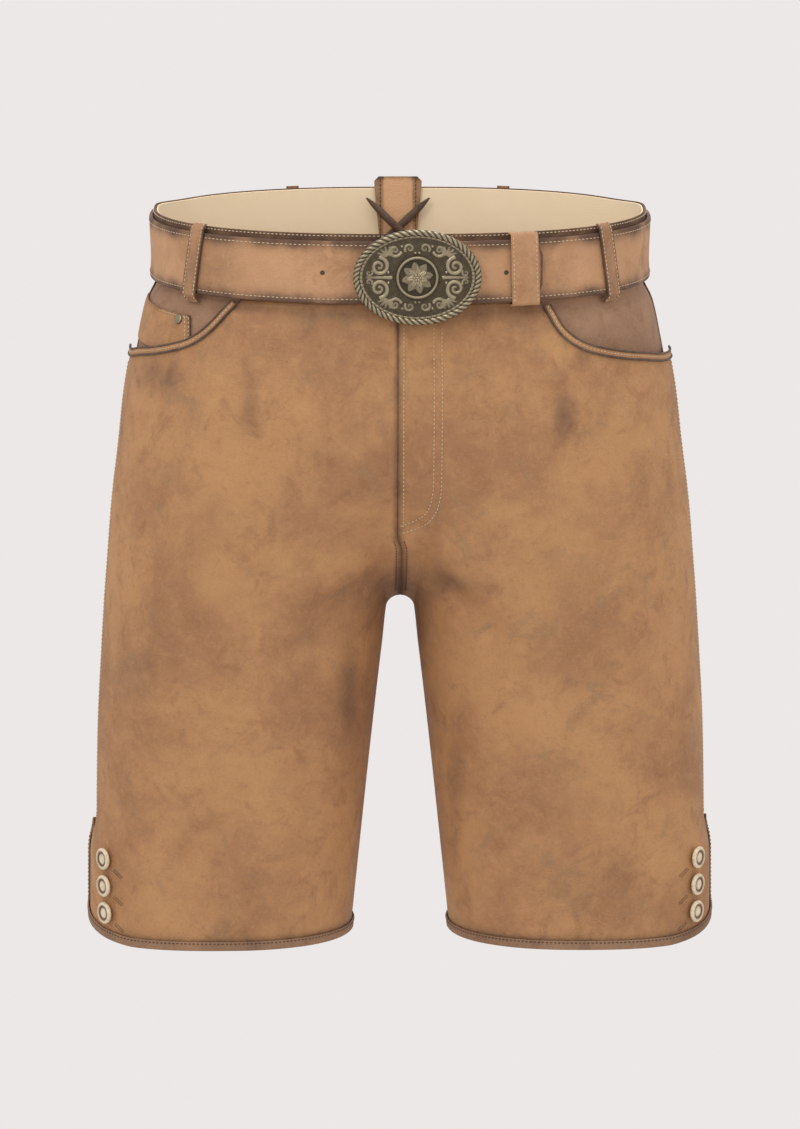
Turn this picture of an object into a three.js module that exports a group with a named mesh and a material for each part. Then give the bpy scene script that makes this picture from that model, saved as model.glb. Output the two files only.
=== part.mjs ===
// Knee-free Bavarian leather shorts (lederhosen) with their own belt, hollow as if worn.
// Millimetres, +Z up, the front faces -Y, +X is the wearer's left.
// The origin is the centre of the waist opening, level with the waistband's top edge at the sides.
//
// Every leather piece lies on one body form. A level of that form is a horizontal slice, tilted
// towards the front near the waist; on each slice one side of the garment is a rounded oval that
// is cut off at the centre plane above the crotch and closes into a leg tube below it.
// A place on the form is an angle (0 at the outer side, positive to the front) and a level.

import * as THREE from 'three';

// ---------------------------------------------------------------- driving sizes
const LEATHER = 1.5;
const GAP = 0.3;
const SEAM = GAP / 2;

const WAIST_TOP = -2.5;
const BAND_HEIGHT = 45;
const BAND_WALL = 1.6;
const CROTCH = -284;
const HEM = -531;
const VENT_TOP = -449;
const PANEL_TOP = WAIST_TOP - BAND_HEIGHT - GAP;

const SQUARENESS = 2.3;
const ARCH_RADIUS = 8.8;
const WAIST_TILT = 0.12;
const TILT_FULL_LEVEL = -60;
const TILT_END_LEVEL = -180;

// side: half width; inner: the leg oval's inner end; front, back: half depths;
// soft: how far from the centre plane the valley between the legs is rounded.
const FORM = [
  { level: 20, side: 176, inner: -167.2, front: 119, back: 115, soft: 25 },
  { level: 0, side: 176.5, inner: -167.7, front: 120, back: 116, soft: 25 },
  { level: -35, side: 175.5, inner: -166.7, front: 121, back: 118, soft: 25 },
  { level: -49, side: 176.5, inner: -165, front: 122, back: 120, soft: 25 },
  { level: -68, side: 184.6, inner: -160, front: 124.5, back: 126, soft: 25 },
  { level: -97, side: 191, inner: -148, front: 126.5, back: 132, soft: 24 },
  { level: -126, side: 196.5, inner: -131, front: 127, back: 136, soft: 22 },
  { level: -156, side: 202, inner: -108, front: 126, back: 137.5, soft: 19 },
  { level: -190, side: 208, inner: -80, front: 124, back: 136, soft: 15 },
  { level: -220, side: 211.5, inner: -50, front: 121, back: 131, soft: 10 },
  { level: -250, side: 214, inner: -25, front: 117.5, back: 124, soft: 5 },
  { level: -284, side: 216.8, inner: 0, front: 113.5, back: 115.5, soft: 1.7 },
  { level: -320, side: 219.3, inner: 4.5, front: 108, back: 107, soft: 0.92 },
  { level: -380, side: 222.8, inner: 11.5, front: 100, back: 96, soft: 0.92 },
  { level: -440, side: 224.3, inner: 18, front: 92.5, back: 87, soft: 0.92 },
  { level: -531, side: 225.5, inner: 27.5, front: 84, back: 78, soft: 0.92 },
];

// y of the side seam on the wearer's right and left.
const SIDE_SEAM = [
  { level: 20, right: 4, left: 4 },
  { level: -110, right: 4, left: 4 },
  { level: -170, right: -8, left: -3 },
  { level: -250, right: -17, left: -8 },
  { level: -440, right: -17, left: -8 },
];

// x of the slanted pocket mouth on the wearer's right and left; it ends at the side seam.
const POCKET_MOUTH = [
  { level: -40, right: 109, left: 95 },
  { level: -46, right: 112, left: 97 },
  { level: -58, right: 120, left: 101.5 },
  { level: -68, right: 128.5, left: 107 },
  { level: -77, right: 137.5, left: 115 },
  { level: -85, right: 148.5, left: 126.5 },
  { level: -91, right: 161.5, left: 141 },
  { level: -96, right: 174, left: 157 },
  { level: -100, right: 184, left: 171.5 },
  { level: -104, right: 190, left: 182.5 },
  { level: -108, right: 196, left: 192 },
];
const MOUTH_END = -108;
const MOUTH_LIFT = 3.7;
const MOUTH_TRIM_WIDTH = 5;
const FACING_TUCK = 12;

const FLY_EDGE_X = -3;
const FLY_BOTTOM = -228;
const FLY_WIDTH = 31;

const NOTCH_HALF_WIDTH = 12.5;
const NOTCH_BOTTOM = -70;
const GUSSET_HALF_WIDTH = 18.5;
const GUSSET_TOP = 4;
const GUSSET_BOTTOM = -76;

const FLAP_EDGE_Y = 6;
const FLAP_CORNER = 15;
const FLAP_LIFT = 4.5;
const UNDERLAP_Y = -38;
const UNDERLAP_TOP = -462;
const BINDING_HEIGHT = 5.5;
const BINDING_WALL = 0.9;
const BINDING_OFF = 3 * GAP;

const BELT_TOP = -4.2;
const BELT_BOTTOM = -47.8;
const BELT_WALL = 3.2;
const BELT_SEAT = BAND_WALL + 0.4;
const BELT_TIP_X = 95;
const BUCKLE_X = 10.3;
const BUCKLE_Z = -43;
const BUCKLE_RIM = { across: 42.3, up: 30.8, wire: 2.5 };
const KEEPER = { x: 82, width: 18, top: 1, bottom: -50, wall: 1.4 };
const BELT_LOOP_WIDTH = 11;
const BUTTON_RADIUS = 8;
const BUTTON_Y = -53;
const LACE_RADIUS = 2.2;

// ---------------------------------------------------------------- materials
const leather = (color, roughness) =>
  new THREE.MeshStandardMaterial({ color, roughness, metalness: 0 });
const MATERIAL = {
  body: leather('#aa7f5e', 0.75),
  facing: leather('#97735a', 0.75),
  belt: leather('#bb906b', 0.65),
  trim: leather('#927662', 0.7),
  lining: leather('#f1d4ab', 0.9),
  gusset: leather('#cea479', 0.8),
  lace: leather('#654c43', 0.8),
  horn: leather('#d9c9a8', 0.45),
  metal: new THREE.MeshStandardMaterial({ color: '#8d8778', roughness: 0.35, metalness: 1 }),
};

// ---------------------------------------------------------------- reading the tables
const clamp01 = (t) => Math.min(1, Math.max(0, t));
const ease = (t) => clamp01(t) ** 2 * (3 - 2 * clamp01(t));

function rate(table, column, i) {
  return (table[i + 1][column] - table[i][column]) / (table[i + 1].level - table[i].level);
}

// Slope of a column at row i that never overshoots its neighbours.
function slope(table, column, i) {
  if (i === 0) return rate(table, column, 0);
  if (i === table.length - 1) return rate(table, column, i - 1);
  const above = rate(table, column, i - 1);
  const below = rate(table, column, i);
  return above * below <= 0 ? 0 : (2 * above * below) / (above + below);
}

// Smooth value of a column at any level; the rows go from the top down.
function follow(table, column, level) {
  const last = table.length - 1;
  if (level >= table[0].level) return table[0][column];
  if (level <= table[last].level) return table[last][column];
  const i = table.findIndex((row) => row.level < level) - 1;
  const span = table[i + 1].level - table[i].level;
  const t = (level - table[i].level) / span;
  const start = table[i][column];
  const end = table[i + 1][column];
  const leave = slope(table, column, i) * span;
  const arrive = slope(table, column, i + 1) * span;
  return start + leave * t + (3 * (end - start) - 2 * leave - arrive) * t ** 2
    + (leave + arrive - 2 * (end - start)) * t ** 3;
}

// ---------------------------------------------------------------- the body form
function slice(level) {
  const side = follow(FORM, 'side', level) - ARCH_RADIUS;
  const inner = follow(FORM, 'inner', level);
  return {
    centre: (side + inner) / 2,
    half: (side - inner) / 2,
    front: follow(FORM, 'front', level),
    back: follow(FORM, 'back', level),
    soft: follow(FORM, 'soft', level),
  };
}

const tilt = (level) =>
  WAIST_TILT * ease((level - TILT_END_LEVEL) / (TILT_FULL_LEVEL - TILT_END_LEVEL));

function levelOf(y, z) {
  let level = z;
  for (let k = 0; k < 6; k += 1) level = z - tilt(level) * y;
  return level;
}

// The rounded valley: an oval's x is moved out by a quarter ellipse that starts at the centre plane.
function spread(x, soft) {
  if (x <= 0) return 0;
  return x >= soft ? x + ARCH_RADIUS : x + ARCH_RADIUS * Math.sqrt(1 - (1 - x / soft) ** 2);
}

function unspread(x, soft) {
  if (x >= soft + ARCH_RADIUS) return x - ARCH_RADIUS;
  const reach = Math.hypot(ARCH_RADIUS, soft);
  const turn = Math.atan2(soft, ARCH_RADIUS) + Math.asin((x - soft) / reach);
  return soft * (1 - Math.cos(turn));
}

const bend = (value) => Math.sign(value) * Math.abs(value) ** (2 / SQUARENESS);
const unbend = (value) => Math.sign(value) * Math.min(1, Math.abs(value)) ** (SQUARENESS / 2);

function surface(angle, level) {
  const s = slice(level);
  const x = spread(s.centre + s.half * bend(Math.cos(angle)), s.soft);
  const y = -(angle > 0 ? s.front : s.back) * bend(Math.sin(angle));
  return new THREE.Vector3(x, y, level + tilt(level) * y);
}

function inside(x, y, z) {
  const s = slice(levelOf(y, z));
  const across = Math.abs(unspread(Math.abs(x), s.soft) - s.centre) / s.half;
  const through = Math.abs(y) / (y < 0 ? s.front : s.back);
  return across ** SQUARENESS + through ** SQUARENESS;
}

function normal(p) {
  const h = 0.02;
  const grow = (dx, dy, dz) =>
    inside(p.x + dx, p.y + dy, p.z + dz) - inside(p.x - dx, p.y - dy, p.z - dz);
  return new THREE.Vector3(grow(h, 0, 0), grow(0, h, 0), grow(0, 0, h)).normalize();
}

const raised = (p, lift) => p.clone().addScaledVector(normal(p), lift);

// Angle on the form at the centre plane or inseam; face is 1 for the front, -1 for the back.
function innerAngle(level, face) {
  const s = slice(level);
  return face * Math.acos(-unbend(Math.min(1, s.centre / s.half)));
}

function angleAtX(level, x, face) {
  const s = slice(level);
  return face * Math.acos(Math.max(-1, unbend((unspread(x, s.soft) - s.centre) / s.half)));
}

function angleAtY(level, y) {
  const s = slice(level);
  return -Math.asin(unbend(y / (y < 0 ? s.front : s.back)));
}

// ---------------------------------------------------------------- closed solids
// Turns a list of quads and triangles over shared points into a solid that faces outwards.
function solid(points, faces) {
  const triangles = faces.flatMap((f) => (f.length === 3 ? [f] : [[f[0], f[1], f[2]], [f[0], f[2], f[3]]]));
  const volume = triangles.reduce((sum, [a, b, c]) =>
    sum + points[a].dot(new THREE.Vector3().crossVectors(points[b], points[c])), 0);
  const turned = volume < 0 ? triangles.map(([a, b, c]) => [a, c, b]) : triangles;
  const geometry = new THREE.BufferGeometry().setFromPoints(points);
  geometry.setIndex(turned.flat());
  geometry.computeVertexNormals();
  return geometry;
}

// A wall between two grids of the same rows and columns, closed round its four edges.
function wall(outer, inner) {
  const rows = outer.length;
  const columns = outer[0].length;
  const points = [...outer.flat(), ...inner.flat()];
  const at = (i, j, layer) => layer * rows * columns + i * columns + j;
  const faces = [];
  for (let i = 0; i + 1 < rows; i += 1) {
    for (let j = 0; j + 1 < columns; j += 1) {
      faces.push([at(i, j, 0), at(i + 1, j, 0), at(i + 1, j + 1, 0), at(i, j + 1, 0)]);
      faces.push([at(i, j, 1), at(i, j + 1, 1), at(i + 1, j + 1, 1), at(i + 1, j, 1)]);
    }
    faces.push([at(i, 0, 0), at(i, 0, 1), at(i + 1, 0, 1), at(i + 1, 0, 0)]);
    const j = columns - 1;
    faces.push([at(i + 1, j, 0), at(i + 1, j, 1), at(i, j, 1), at(i, j, 0)]);
  }
  for (let j = 0; j + 1 < columns; j += 1) {
    faces.push([at(0, j, 1), at(0, j, 0), at(0, j + 1, 0), at(0, j + 1, 1)]);
    const i = rows - 1;
    faces.push([at(i, j, 0), at(i, j, 1), at(i, j + 1, 1), at(i, j + 1, 0)]);
  }
  return solid(points, faces);
}

// A closed profile carried along a path of places { p, out, along }: a profile point is
// [sideways, outwards], sideways being square to the path in the surface.
function sweep(path, outline) {
  const clockwise = THREE.ShapeUtils.isClockWise(outline.map(([b, n]) => new THREE.Vector2(b, n)));
  const profile = clockwise ? [...outline].reverse() : outline;
  const points = path.flatMap(({ p, out, along }) => {
    const sideways = new THREE.Vector3().crossVectors(out, along).normalize();
    return profile.map(([b, n]) => p.clone().addScaledVector(sideways, b).addScaledVector(out, n));
  });
  const sides = profile.length;
  const last = (path.length - 1) * sides;
  const faces = [];
  for (let i = 0; i + 1 < path.length; i += 1) {
    for (let k = 0; k < sides; k += 1) {
      const next = (k + 1) % sides;
      faces.push([i * sides + k, i * sides + next, (i + 1) * sides + next, (i + 1) * sides + k]);
    }
  }
  const cap = profile.map(([b, n]) => new THREE.Vector2(b, n));
  for (const [a, b, c] of THREE.ShapeUtils.triangulateShape(cap, [])) {
    faces.push([c, b, a], [last + a, last + b, last + c]);
  }
  return solid(points, faces);
}

const box = (b0, b1, n0, n1) => [[b0, n0], [b1, n0], [b1, n1], [b0, n1]];

// Places along a list of surface points, each with its outward direction and its heading.
function pathOver(points) {
  return points.map((p, i) => ({
    p,
    out: normal(p),
    along: points[Math.min(i + 1, points.length - 1)].clone()
      .sub(points[Math.max(i - 1, 0)]).normalize(),
  }));
}

const steps = (count) => Array.from({ length: count + 1 }, (_, i) => i / count);
const between = (a, b, t) => a + (b - a) * t;

// ---------------------------------------------------------------- the garment's own rules
const SIDES = [{ name: 'right', sign: -1 }, { name: 'left', sign: 1 }];

// Columns of a body panel, closer together at the inseam and at the side.
const COLUMNS = steps(8).map((t) => t - 0.1 * Math.sin(2 * Math.PI * t));

// Levels that crowd together at the crotch, where the seam turns under.
const RISE = [150, 122, 98, 76, 57, 41, 28, 17, 9, 4, 1];
const LEG = [0, 1, 4, 9, 17, 30, 52, 84, 118, 150];
const CROTCH_LEVELS = [...RISE.map((d) => CROTCH + d), ...LEG.map((d) => CROTCH - d)];
const VENT_LEVELS = [-440, -449, -456, -468, -492, -517, HEM + BINDING_HEIGHT, -529, HEM];
const FRONT_TOP_LEVELS = [PANEL_TOP, -55, -62, -70, -78, -86, -93, -99, -104, MOUTH_END, -118];
const BACK_TOP_LEVELS = [PANEL_TOP, -56, -63, NOTCH_BOTTOM, -82, -98, -116];

const notchHalfWidth = (level) =>
  Math.max(SEAM, NOTCH_HALF_WIDTH * (level - NOTCH_BOTTOM) / (WAIST_TOP - NOTCH_BOTTOM));

// How far the front stands off the form: round the pocket mouth and over the buttoned vent.
function frontLift(p, level) {
  const mouth = ease((p.x - 60) / 50) * ease((level + 190) / 70) * ease((-48 - level) / 14);
  const flap = ease((p.y + 105) / 40) * ease((VENT_TOP + 14 - level) / 14) * (p.x > 130 ? 1 : 0);
  return MOUTH_LIFT * mouth + FLAP_LIFT * flap;
}

const facingLift = (level) =>
  between(-1.9, -1.2, ease((-48 - level) / 14)) - 3.4 * ease((-100 - level) / 8);

// y of the front's rear edge at the side: the seam, then the flap.
const frontEdgeY = (level, side) =>
  (level >= VENT_TOP ? follow(SIDE_SEAM, side.name, level) : FLAP_EDGE_Y);

// The flap's lower corner is rounded: its edge steps forward by this much.
function cornerCut(level) {
  const below = Math.max(0, HEM + FLAP_CORNER - level);
  return FLAP_CORNER - Math.sqrt(FLAP_CORNER ** 2 - below ** 2);
}

function backEdgeY(level, side) {
  return level >= UNDERLAP_TOP ? follow(SIDE_SEAM, side.name, level) : UNDERLAP_Y;
}

function frontOuterAngle(level, side) {
  return level > MOUTH_END
    ? angleAtX(level, follow(POCKET_MOUTH, side.name, level), 1)
    : angleAtY(level, frontEdgeY(level, side));
}

function backInnerAngle(level) {
  return level > NOTCH_BOTTOM
    ? angleAtX(level, notchHalfWidth(level), -1)
    : innerAngle(level, -1);
}

// The left front laps the right one at the fly, so the seam stands off the centre there.
function shiftedAtFly(p, level, side) {
  const shift = FLY_EDGE_X * side.sign * ease((level - FLY_BOTTOM + 12) / 12);
  p.x = Math.max(SEAM + shift, p.x + shift * clamp01(1 - p.x / 80));
  return p;
}

// One body panel: rows of levels, columns from the centre seam and inseam out to the side.
function panel(side, face, levels, placesOf, liftOf) {
  const layer = (depth) => levels.map((level) => placesOf(level).map((p, j) => {
    const q = raised(p, liftOf(p, level) - depth);
    if (j === 0 || j === COLUMNS.length - 1) q.y -= face * SEAM;
    if (face > 0 && level > CROTCH) return shiftedAtFly(q, level, side);
    q.x = Math.max(SEAM, q.x);
    return q;
  }));
  return wall(layer(0), layer(LEATHER));
}

// Points of one level of a front, from the centre or inseam to the side.
function frontRow(level, side) {
  const inner = innerAngle(level, 1);
  const outer = frontOuterAngle(level, side);
  const row = COLUMNS.map((t) => surface(between(inner, outer, t), level));
  if (level < VENT_TOP) {
    row[row.length - 1] = surface(angleAtY(level, FLAP_EDGE_Y - cornerCut(level)), level);
  }
  return row;
}

function backRow(level, side) {
  const outer = angleAtY(level, backEdgeY(level, side));
  return COLUMNS.map((t) => surface(between(backInnerAngle(level), outer, t), level));
}

function frontPanel(side) {
  const levels = [...FRONT_TOP_LEVELS, ...CROTCH_LEVELS, ...VENT_LEVELS];
  return panel(side, 1, levels, (level) => frontRow(level, side), frontLift);
}

function backPanel(side) {
  const levels = [...BACK_TOP_LEVELS, ...CROTCH_LEVELS, ...VENT_LEVELS];
  return panel(side, -1, levels, (level) => backRow(level, side), () => 0);
}

// ---------------------------------------------------------------- pieces round the pockets and fly
function pocketFacing(side) {
  const levels = [PANEL_TOP, -56, -66, -78, -90, -102, -110, -115];
  const layer = (depth) => levels.map((level) => steps(6).map((t) => {
    const mouthX = follow(POCKET_MOUTH, side.name, Math.min(0, level + FACING_TUCK));
    const start = angleAtX(level, mouthX - FACING_TUCK, 1);
    const p = surface(between(start, angleAtY(level, follow(SIDE_SEAM, side.name, level)), t), level);
    const q = raised(p, facingLift(level) - depth);
    q.y -= t === 1 ? 2 * GAP : 0;
    return q;
  }));
  return wall(layer(0), layer(1.3));
}

function mouthPath(side) {
  const levels = FRONT_TOP_LEVELS.filter((level) => level < PANEL_TOP && level > MOUTH_END);
  return pathOver(levels.map((level) => {
    const p = surface(frontOuterAngle(level, side), level);
    return raised(p, frontLift(p, level));
  }));
}

const pocketTrim = (side) => sweep(mouthPath(side), box(-0.5, MOUTH_TRIM_WIDTH, GAP, GAP + 0.9));

function coinPocket(side) {
  const levels = [-63, -74, -84, -92];
  const layer = (lift) => levels.map((level) => steps(4).map((t) => {
    const end = angleAtY(level, follow(SIDE_SEAM, side.name, level) - 2);
    return raised(surface(between(angleAtX(level, 149, 1), end, t), level), facingLift(level) + lift);
  }));
  return wall(layer(1.9), layer(0.9));
}

// A small turned piece, its axis along the surface's outward direction at place p.
function turnedAt(p, profile, segments = 16) {
  const geometry = new THREE.LatheGeometry(profile.map(([r, h]) => new THREE.Vector2(r, h)), segments);
  const turn = new THREE.Quaternion().setFromUnitVectors(new THREE.Vector3(0, 1, 0), normal(p));
  geometry.applyQuaternion(turn);
  geometry.translate(p.x, p.y, p.z);
  return geometry;
}

function coinRivet() {
  const p = surface(angleAtX(-67, 157, 1), -67);
  return turnedAt(raised(p, facingLift(-67) + 2.3), [[0, 0], [3.4, 0], [3.4, 0.5], [2.2, 1.3], [0, 1.6]]);
}

// A strip on the front that may cross the centre plane: x runs from wearer's right to left.
function acrossFront(x, level, lift, face = 1) {
  const p = raised(surface(angleAtX(level, Math.abs(x), face), level), lift);
  p.x *= Math.sign(x) || 1;
  return p;
}

function flyUnderlap() {
  const levels = [-52, -80, -110, -140, -165, -185, -197, -207, -216, -222, -227];
  const curveTop = FLY_BOTTOM + FLY_WIDTH;
  const rightEnd = (level) => (level > curveTop ? FLY_WIDTH
    : Math.max(3, Math.sqrt(FLY_WIDTH ** 2 - (curveTop - level) ** 2)));
  const layer = (lift) => levels.map((level) =>
    steps(5).map((t) => acrossFront(between(-9, rightEnd(level), t), level, lift)));
  return wall(layer(-LEATHER - 3 * GAP), layer(-LEATHER - 3 * GAP - 1.2));
}

// ---------------------------------------------------------------- waist
function bandGrid(levels, backX, lift, count) {
  return levels.map((level) => steps(count).map((t) => {
    const front = angleAtX(level, SEAM, 1);
    const back = angleAtX(level, backX(level), -1);
    return raised(surface(between(front, back, t), level), lift);
  }));
}

function waistband() {
  const levels = [0, 1 / 3, 2 / 3, 1].map((t) => WAIST_TOP - BAND_HEIGHT * t);
  return wall(bandGrid(levels, notchHalfWidth, BAND_WALL, 18),
    bandGrid(levels, notchHalfWidth, 0, 18));
}

function waistLining() {
  const levels = [WAIST_TOP - 1, -18, -33, -47];
  return wall(bandGrid(levels, notchHalfWidth, -GAP, 18),
    bandGrid(levels, notchHalfWidth, -GAP - 1.1, 18));
}

function backGusset() {
  const levels = [GUSSET_TOP, -8, -22, -40, -58, GUSSET_BOTTOM];
  const half = (level) => between(GUSSET_HALF_WIDTH, 11, clamp01((GUSSET_TOP - level) / 80));
  const layer = (lift) => levels.map((level) =>
    steps(6).map((t) => acrossFront(between(-half(level), half(level), t), level, lift, -1)));
  return wall(layer(-2.3), layer(-3.6));
}

// Two leather strands crossed on the inside; the first lies next to the gusset.
function laceStrand(direction, hump) {
  const profile = steps(8).slice(1).map((t) => [
    LACE_RADIUS * Math.cos(2 * Math.PI * t), LACE_RADIUS * Math.sin(2 * Math.PI * t)]);
  const places = steps(12).map((t) => {
    const x = direction * between(24, -21, t);
    const lift = -6.5 - hump * Math.sin(Math.PI * t) ** 2;
    return acrossFront(x, between(-12, -54, t), lift, -1);
  });
  return sweep(pathOver(places), profile);
}

function laceBar() {
  const profile = steps(8).slice(1).map((t) => [
    1.8 * Math.cos(2 * Math.PI * t), 1.8 * Math.sin(2 * Math.PI * t)]);
  const places = steps(8).map((t) =>
    acrossFront(between(-20, 20, t), -54, 2.2, -1));
  return sweep(pathOver(places), profile);
}

// ---------------------------------------------------------------- belt
// Place round the waist: 0 front centre, 1 wearer's left side, 2 back, 3 right side, 4 front again.
function roundWaist(turn, level, lift) {
  const lap = ((turn % 4) + 4) % 4;
  const rightSide = lap > 2;
  const quarter = rightSide ? 4 - lap : lap;
  const face = quarter < 1 ? 1 : -1;
  const part = quarter < 1 ? 1 - quarter : quarter - 1;
  const p = raised(surface(innerAngle(level, face) * part, level), lift);
  p.x *= rightSide ? -1 : 1;
  return p;
}

// The turn at which the front of the form reaches a given x on the wearer's left.
const turnAtX = (x, level = -26) => 1 - angleAtX(level, x, 1) / innerAngle(level, 1);

function beltStrap() {
  const start = turnAtX(16);
  const end = 4 + turnAtX(BELT_TIP_X);
  const levels = [BELT_TOP, (BELT_TOP + BELT_BOTTOM) / 2, BELT_BOTTOM];
  const overlap = BELT_WALL + GAP + 0.1;
  const layer = (depth) => levels.map((level) => steps(56).map((t) => {
    const turn = between(start, end, t);
    const over = overlap * ease((turn - 3.86) / 0.16);
    return roundWaist(turn, level, BELT_SEAT + over + depth);
  }));
  return wall(layer(BELT_WALL), layer(0));
}

function beltKeeper() {
  const outer = BELT_SEAT + 2 * BELT_WALL + 2.8;
  const inner = 3.6;
  const top = KEEPER.top - BELT_TOP;
  const bottom = KEEPER.bottom - BELT_TOP;
  const w = KEEPER.wall;
  const profile = [[top, inner], [top, outer + w], [bottom, outer + w], [bottom, inner],
    [bottom + w, inner], [bottom + w, outer], [top - w, outer], [top - w, inner]];
  const places = steps(4).map((t) =>
    surface(angleAtX(BELT_TOP, between(-0.5, 0.5, t) * KEEPER.width + KEEPER.x, 1), BELT_TOP));
  const path = pathOver(places).map((place) => ({ ...place, out: place.out.setZ(0).normalize() }));
  return sweep(path, profile);
}

// A narrow strap that stands over the belt; its stations are level and distance off the form.
const LOOP_STATIONS = [
  { level: -0.6, off: 2.3 }, { level: -1.8, off: 4.4 }, { level: -3.6, off: 6 },
  { level: -26, off: 6.4 }, { level: -48.8, off: 6.1 }, { level: -52.2, off: 3.2 },
  { level: -56, off: 0.6 }, { level: -60, off: 0.5 },
];

function beltLoop(topX, bottomX, face) {
  const layer = (extra) => LOOP_STATIONS.map(({ level, off }) => {
    const middle = between(topX, bottomX, clamp01(-level / 60));
    return [-0.5, 0.5].map((s) => {
      const p = surface(angleAtX(level, middle + s * BELT_LOOP_WIDTH * 0.8, face), level);
      return raised(p, off + extra);
    });
  });
  return wall(layer(1.4), layer(0));
}

// ---------------------------------------------------------------- buckle
const BUCKLE_BACK_Y = -132.5;

function buckleRim() {
  const sides = steps(8).slice(1);
  const stations = steps(48).slice(1);
  const points = stations.flatMap((t) => {
    const turn = 2 * Math.PI * t;
    const out = new THREE.Vector3(BUCKLE_RIM.up * Math.cos(turn), 0, BUCKLE_RIM.across * Math.sin(turn))
      .normalize();
    return sides.map((u) => new THREE.Vector3(
      BUCKLE_X + BUCKLE_RIM.across * Math.cos(turn),
      BUCKLE_BACK_Y - BUCKLE_RIM.wire,
      BUCKLE_Z + BUCKLE_RIM.up * Math.sin(turn))
      .addScaledVector(out, BUCKLE_RIM.wire * Math.cos(2 * Math.PI * u))
      .add(new THREE.Vector3(0, BUCKLE_RIM.wire * Math.sin(2 * Math.PI * u), 0)));
  });
  const at = (i, k) => (i % stations.length) * sides.length + (k % sides.length);
  const faces = stations.flatMap((_, i) => sides.map((__, k) =>
    [at(i, k), at(i + 1, k), at(i + 1, k + 1), at(i, k + 1)]));
  return solid(points, faces);
}

// A turned disc stretched to an oval, facing the front.
function ovalDisc(across, up, y, profile, segments) {
  const geometry = new THREE.LatheGeometry(profile.map(([r, h]) => new THREE.Vector2(r, h)), segments);
  geometry.rotateX(Math.PI);
  geometry.scale(across, 1, up);
  geometry.translate(BUCKLE_X, y, BUCKLE_Z);
  return geometry;
}

function bucklePlate() {
  return ovalDisc(BUCKLE_RIM.across - BUCKLE_RIM.wire - 0.5, BUCKLE_RIM.up - BUCKLE_RIM.wire - 0.5,
    BUCKLE_BACK_Y, [[0, 0], [1, 0], [1, 2], [0.85, 3], [0.5, 3.4], [0, 3.4]], 48);
}

const MEDALLION_RADIUS = 15;
function buckleMedallion() {
  const r = MEDALLION_RADIUS;
  return ovalDisc(1, 1, BUCKLE_BACK_Y - 3.4 - GAP,
    [[0, 0], [r, 0], [r, 1.2], [r - 2, 2], [r / 2, 1.4], [0, 1.4]], 32);
}

// ---------------------------------------------------------------- hem bindings and horn buttons
// The leather that wraps a cut edge: on the outside and under the edge.
const bindingProfile = (height) => [
  [height, BINDING_OFF], [height, BINDING_OFF + BINDING_WALL],
  [-GAP - BINDING_WALL, BINDING_OFF + BINDING_WALL], [-GAP - BINDING_WALL, -LEATHER],
  [-GAP, -LEATHER], [-GAP, BINDING_OFF],
];

function clearOfInseam(p, face) {
  if (Math.abs(p.y) < GAP) p.y = -face * GAP;
  return p;
}

function frontBinding(side) {
  const flapEdge = [...VENT_LEVELS].reverse().filter((level) => level > HEM && level < VENT_TOP);
  const places = [
    ...frontRow(HEM, side).map((p) => raised(clearOfInseam(p, 1), frontLift(p, HEM))),
    ...flapEdge.map((level) => {
      const p = frontRow(level, side).at(-1);
      return raised(p, frontLift(p, level));
    }),
  ];
  return sweep(pathOver(places), bindingProfile(BINDING_HEIGHT));
}

function backBinding(side) {
  const profile = bindingProfile(BINDING_HEIGHT).map(([b, n]) => [-b, n]);
  return sweep(pathOver(backRow(HEM, side).map((p) => clearOfInseam(p, -1))), profile);
}

const BUTTONS = [{ level: -470 }, { level: -490 }, { level: -510 }];
function hornButton({ level }) {
  const p = surface(angleAtY(level, BUTTON_Y), level);
  const r = BUTTON_RADIUS;
  return turnedAt(raised(p, frontLift(p, level) + 1.2),
    [[0, 0], [r - 2, 0], [r, 1.6], [r, 2.6], [r - 1.4, 3.8], [r - 3, 3], [0, 3.2]]);
}

// ---------------------------------------------------------------- the scene
const garment = new THREE.Group();

function add(name, geometry, material, sign = 1) {
  if (sign < 0) {
    geometry.scale(-1, 1, 1);
    const index = geometry.index.array;
    for (let i = 0; i < index.length; i += 3) [index[i], index[i + 1]] = [index[i + 1], index[i]];
  }
  const mesh = new THREE.Mesh(geometry, material);
  mesh.name = name;
  garment.add(mesh);
}

for (const side of SIDES) {
  const { name, sign } = side;
  add(`front_${name}`, frontPanel(side), MATERIAL.body, sign);
  add(`back_${name}`, backPanel(side), MATERIAL.body, sign);
  add(`pocket_facing_${name}`, pocketFacing(side), MATERIAL.facing, sign);
  add(`pocket_trim_${name}`, pocketTrim(side), MATERIAL.trim, sign);
  add(`waistband_${name}`, waistband(), MATERIAL.body, sign);
  add(`waist_lining_${name}`, waistLining(), MATERIAL.lining, sign);
  add(`hem_binding_front_${name}`, frontBinding(side), MATERIAL.trim, sign);
  add(`hem_binding_back_${name}`, backBinding(side), MATERIAL.trim, sign);
  add(`belt_loop_front_${name}`, beltLoop(139, 147, 1), MATERIAL.belt, sign);
  add(`belt_loop_back_${name}`, beltLoop(78, 78, -1), MATERIAL.belt, sign);
  BUTTONS.forEach((button, i) =>
    add(`horn_button_${name}_${i + 1}`, hornButton(button), MATERIAL.horn, sign));
}

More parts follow.
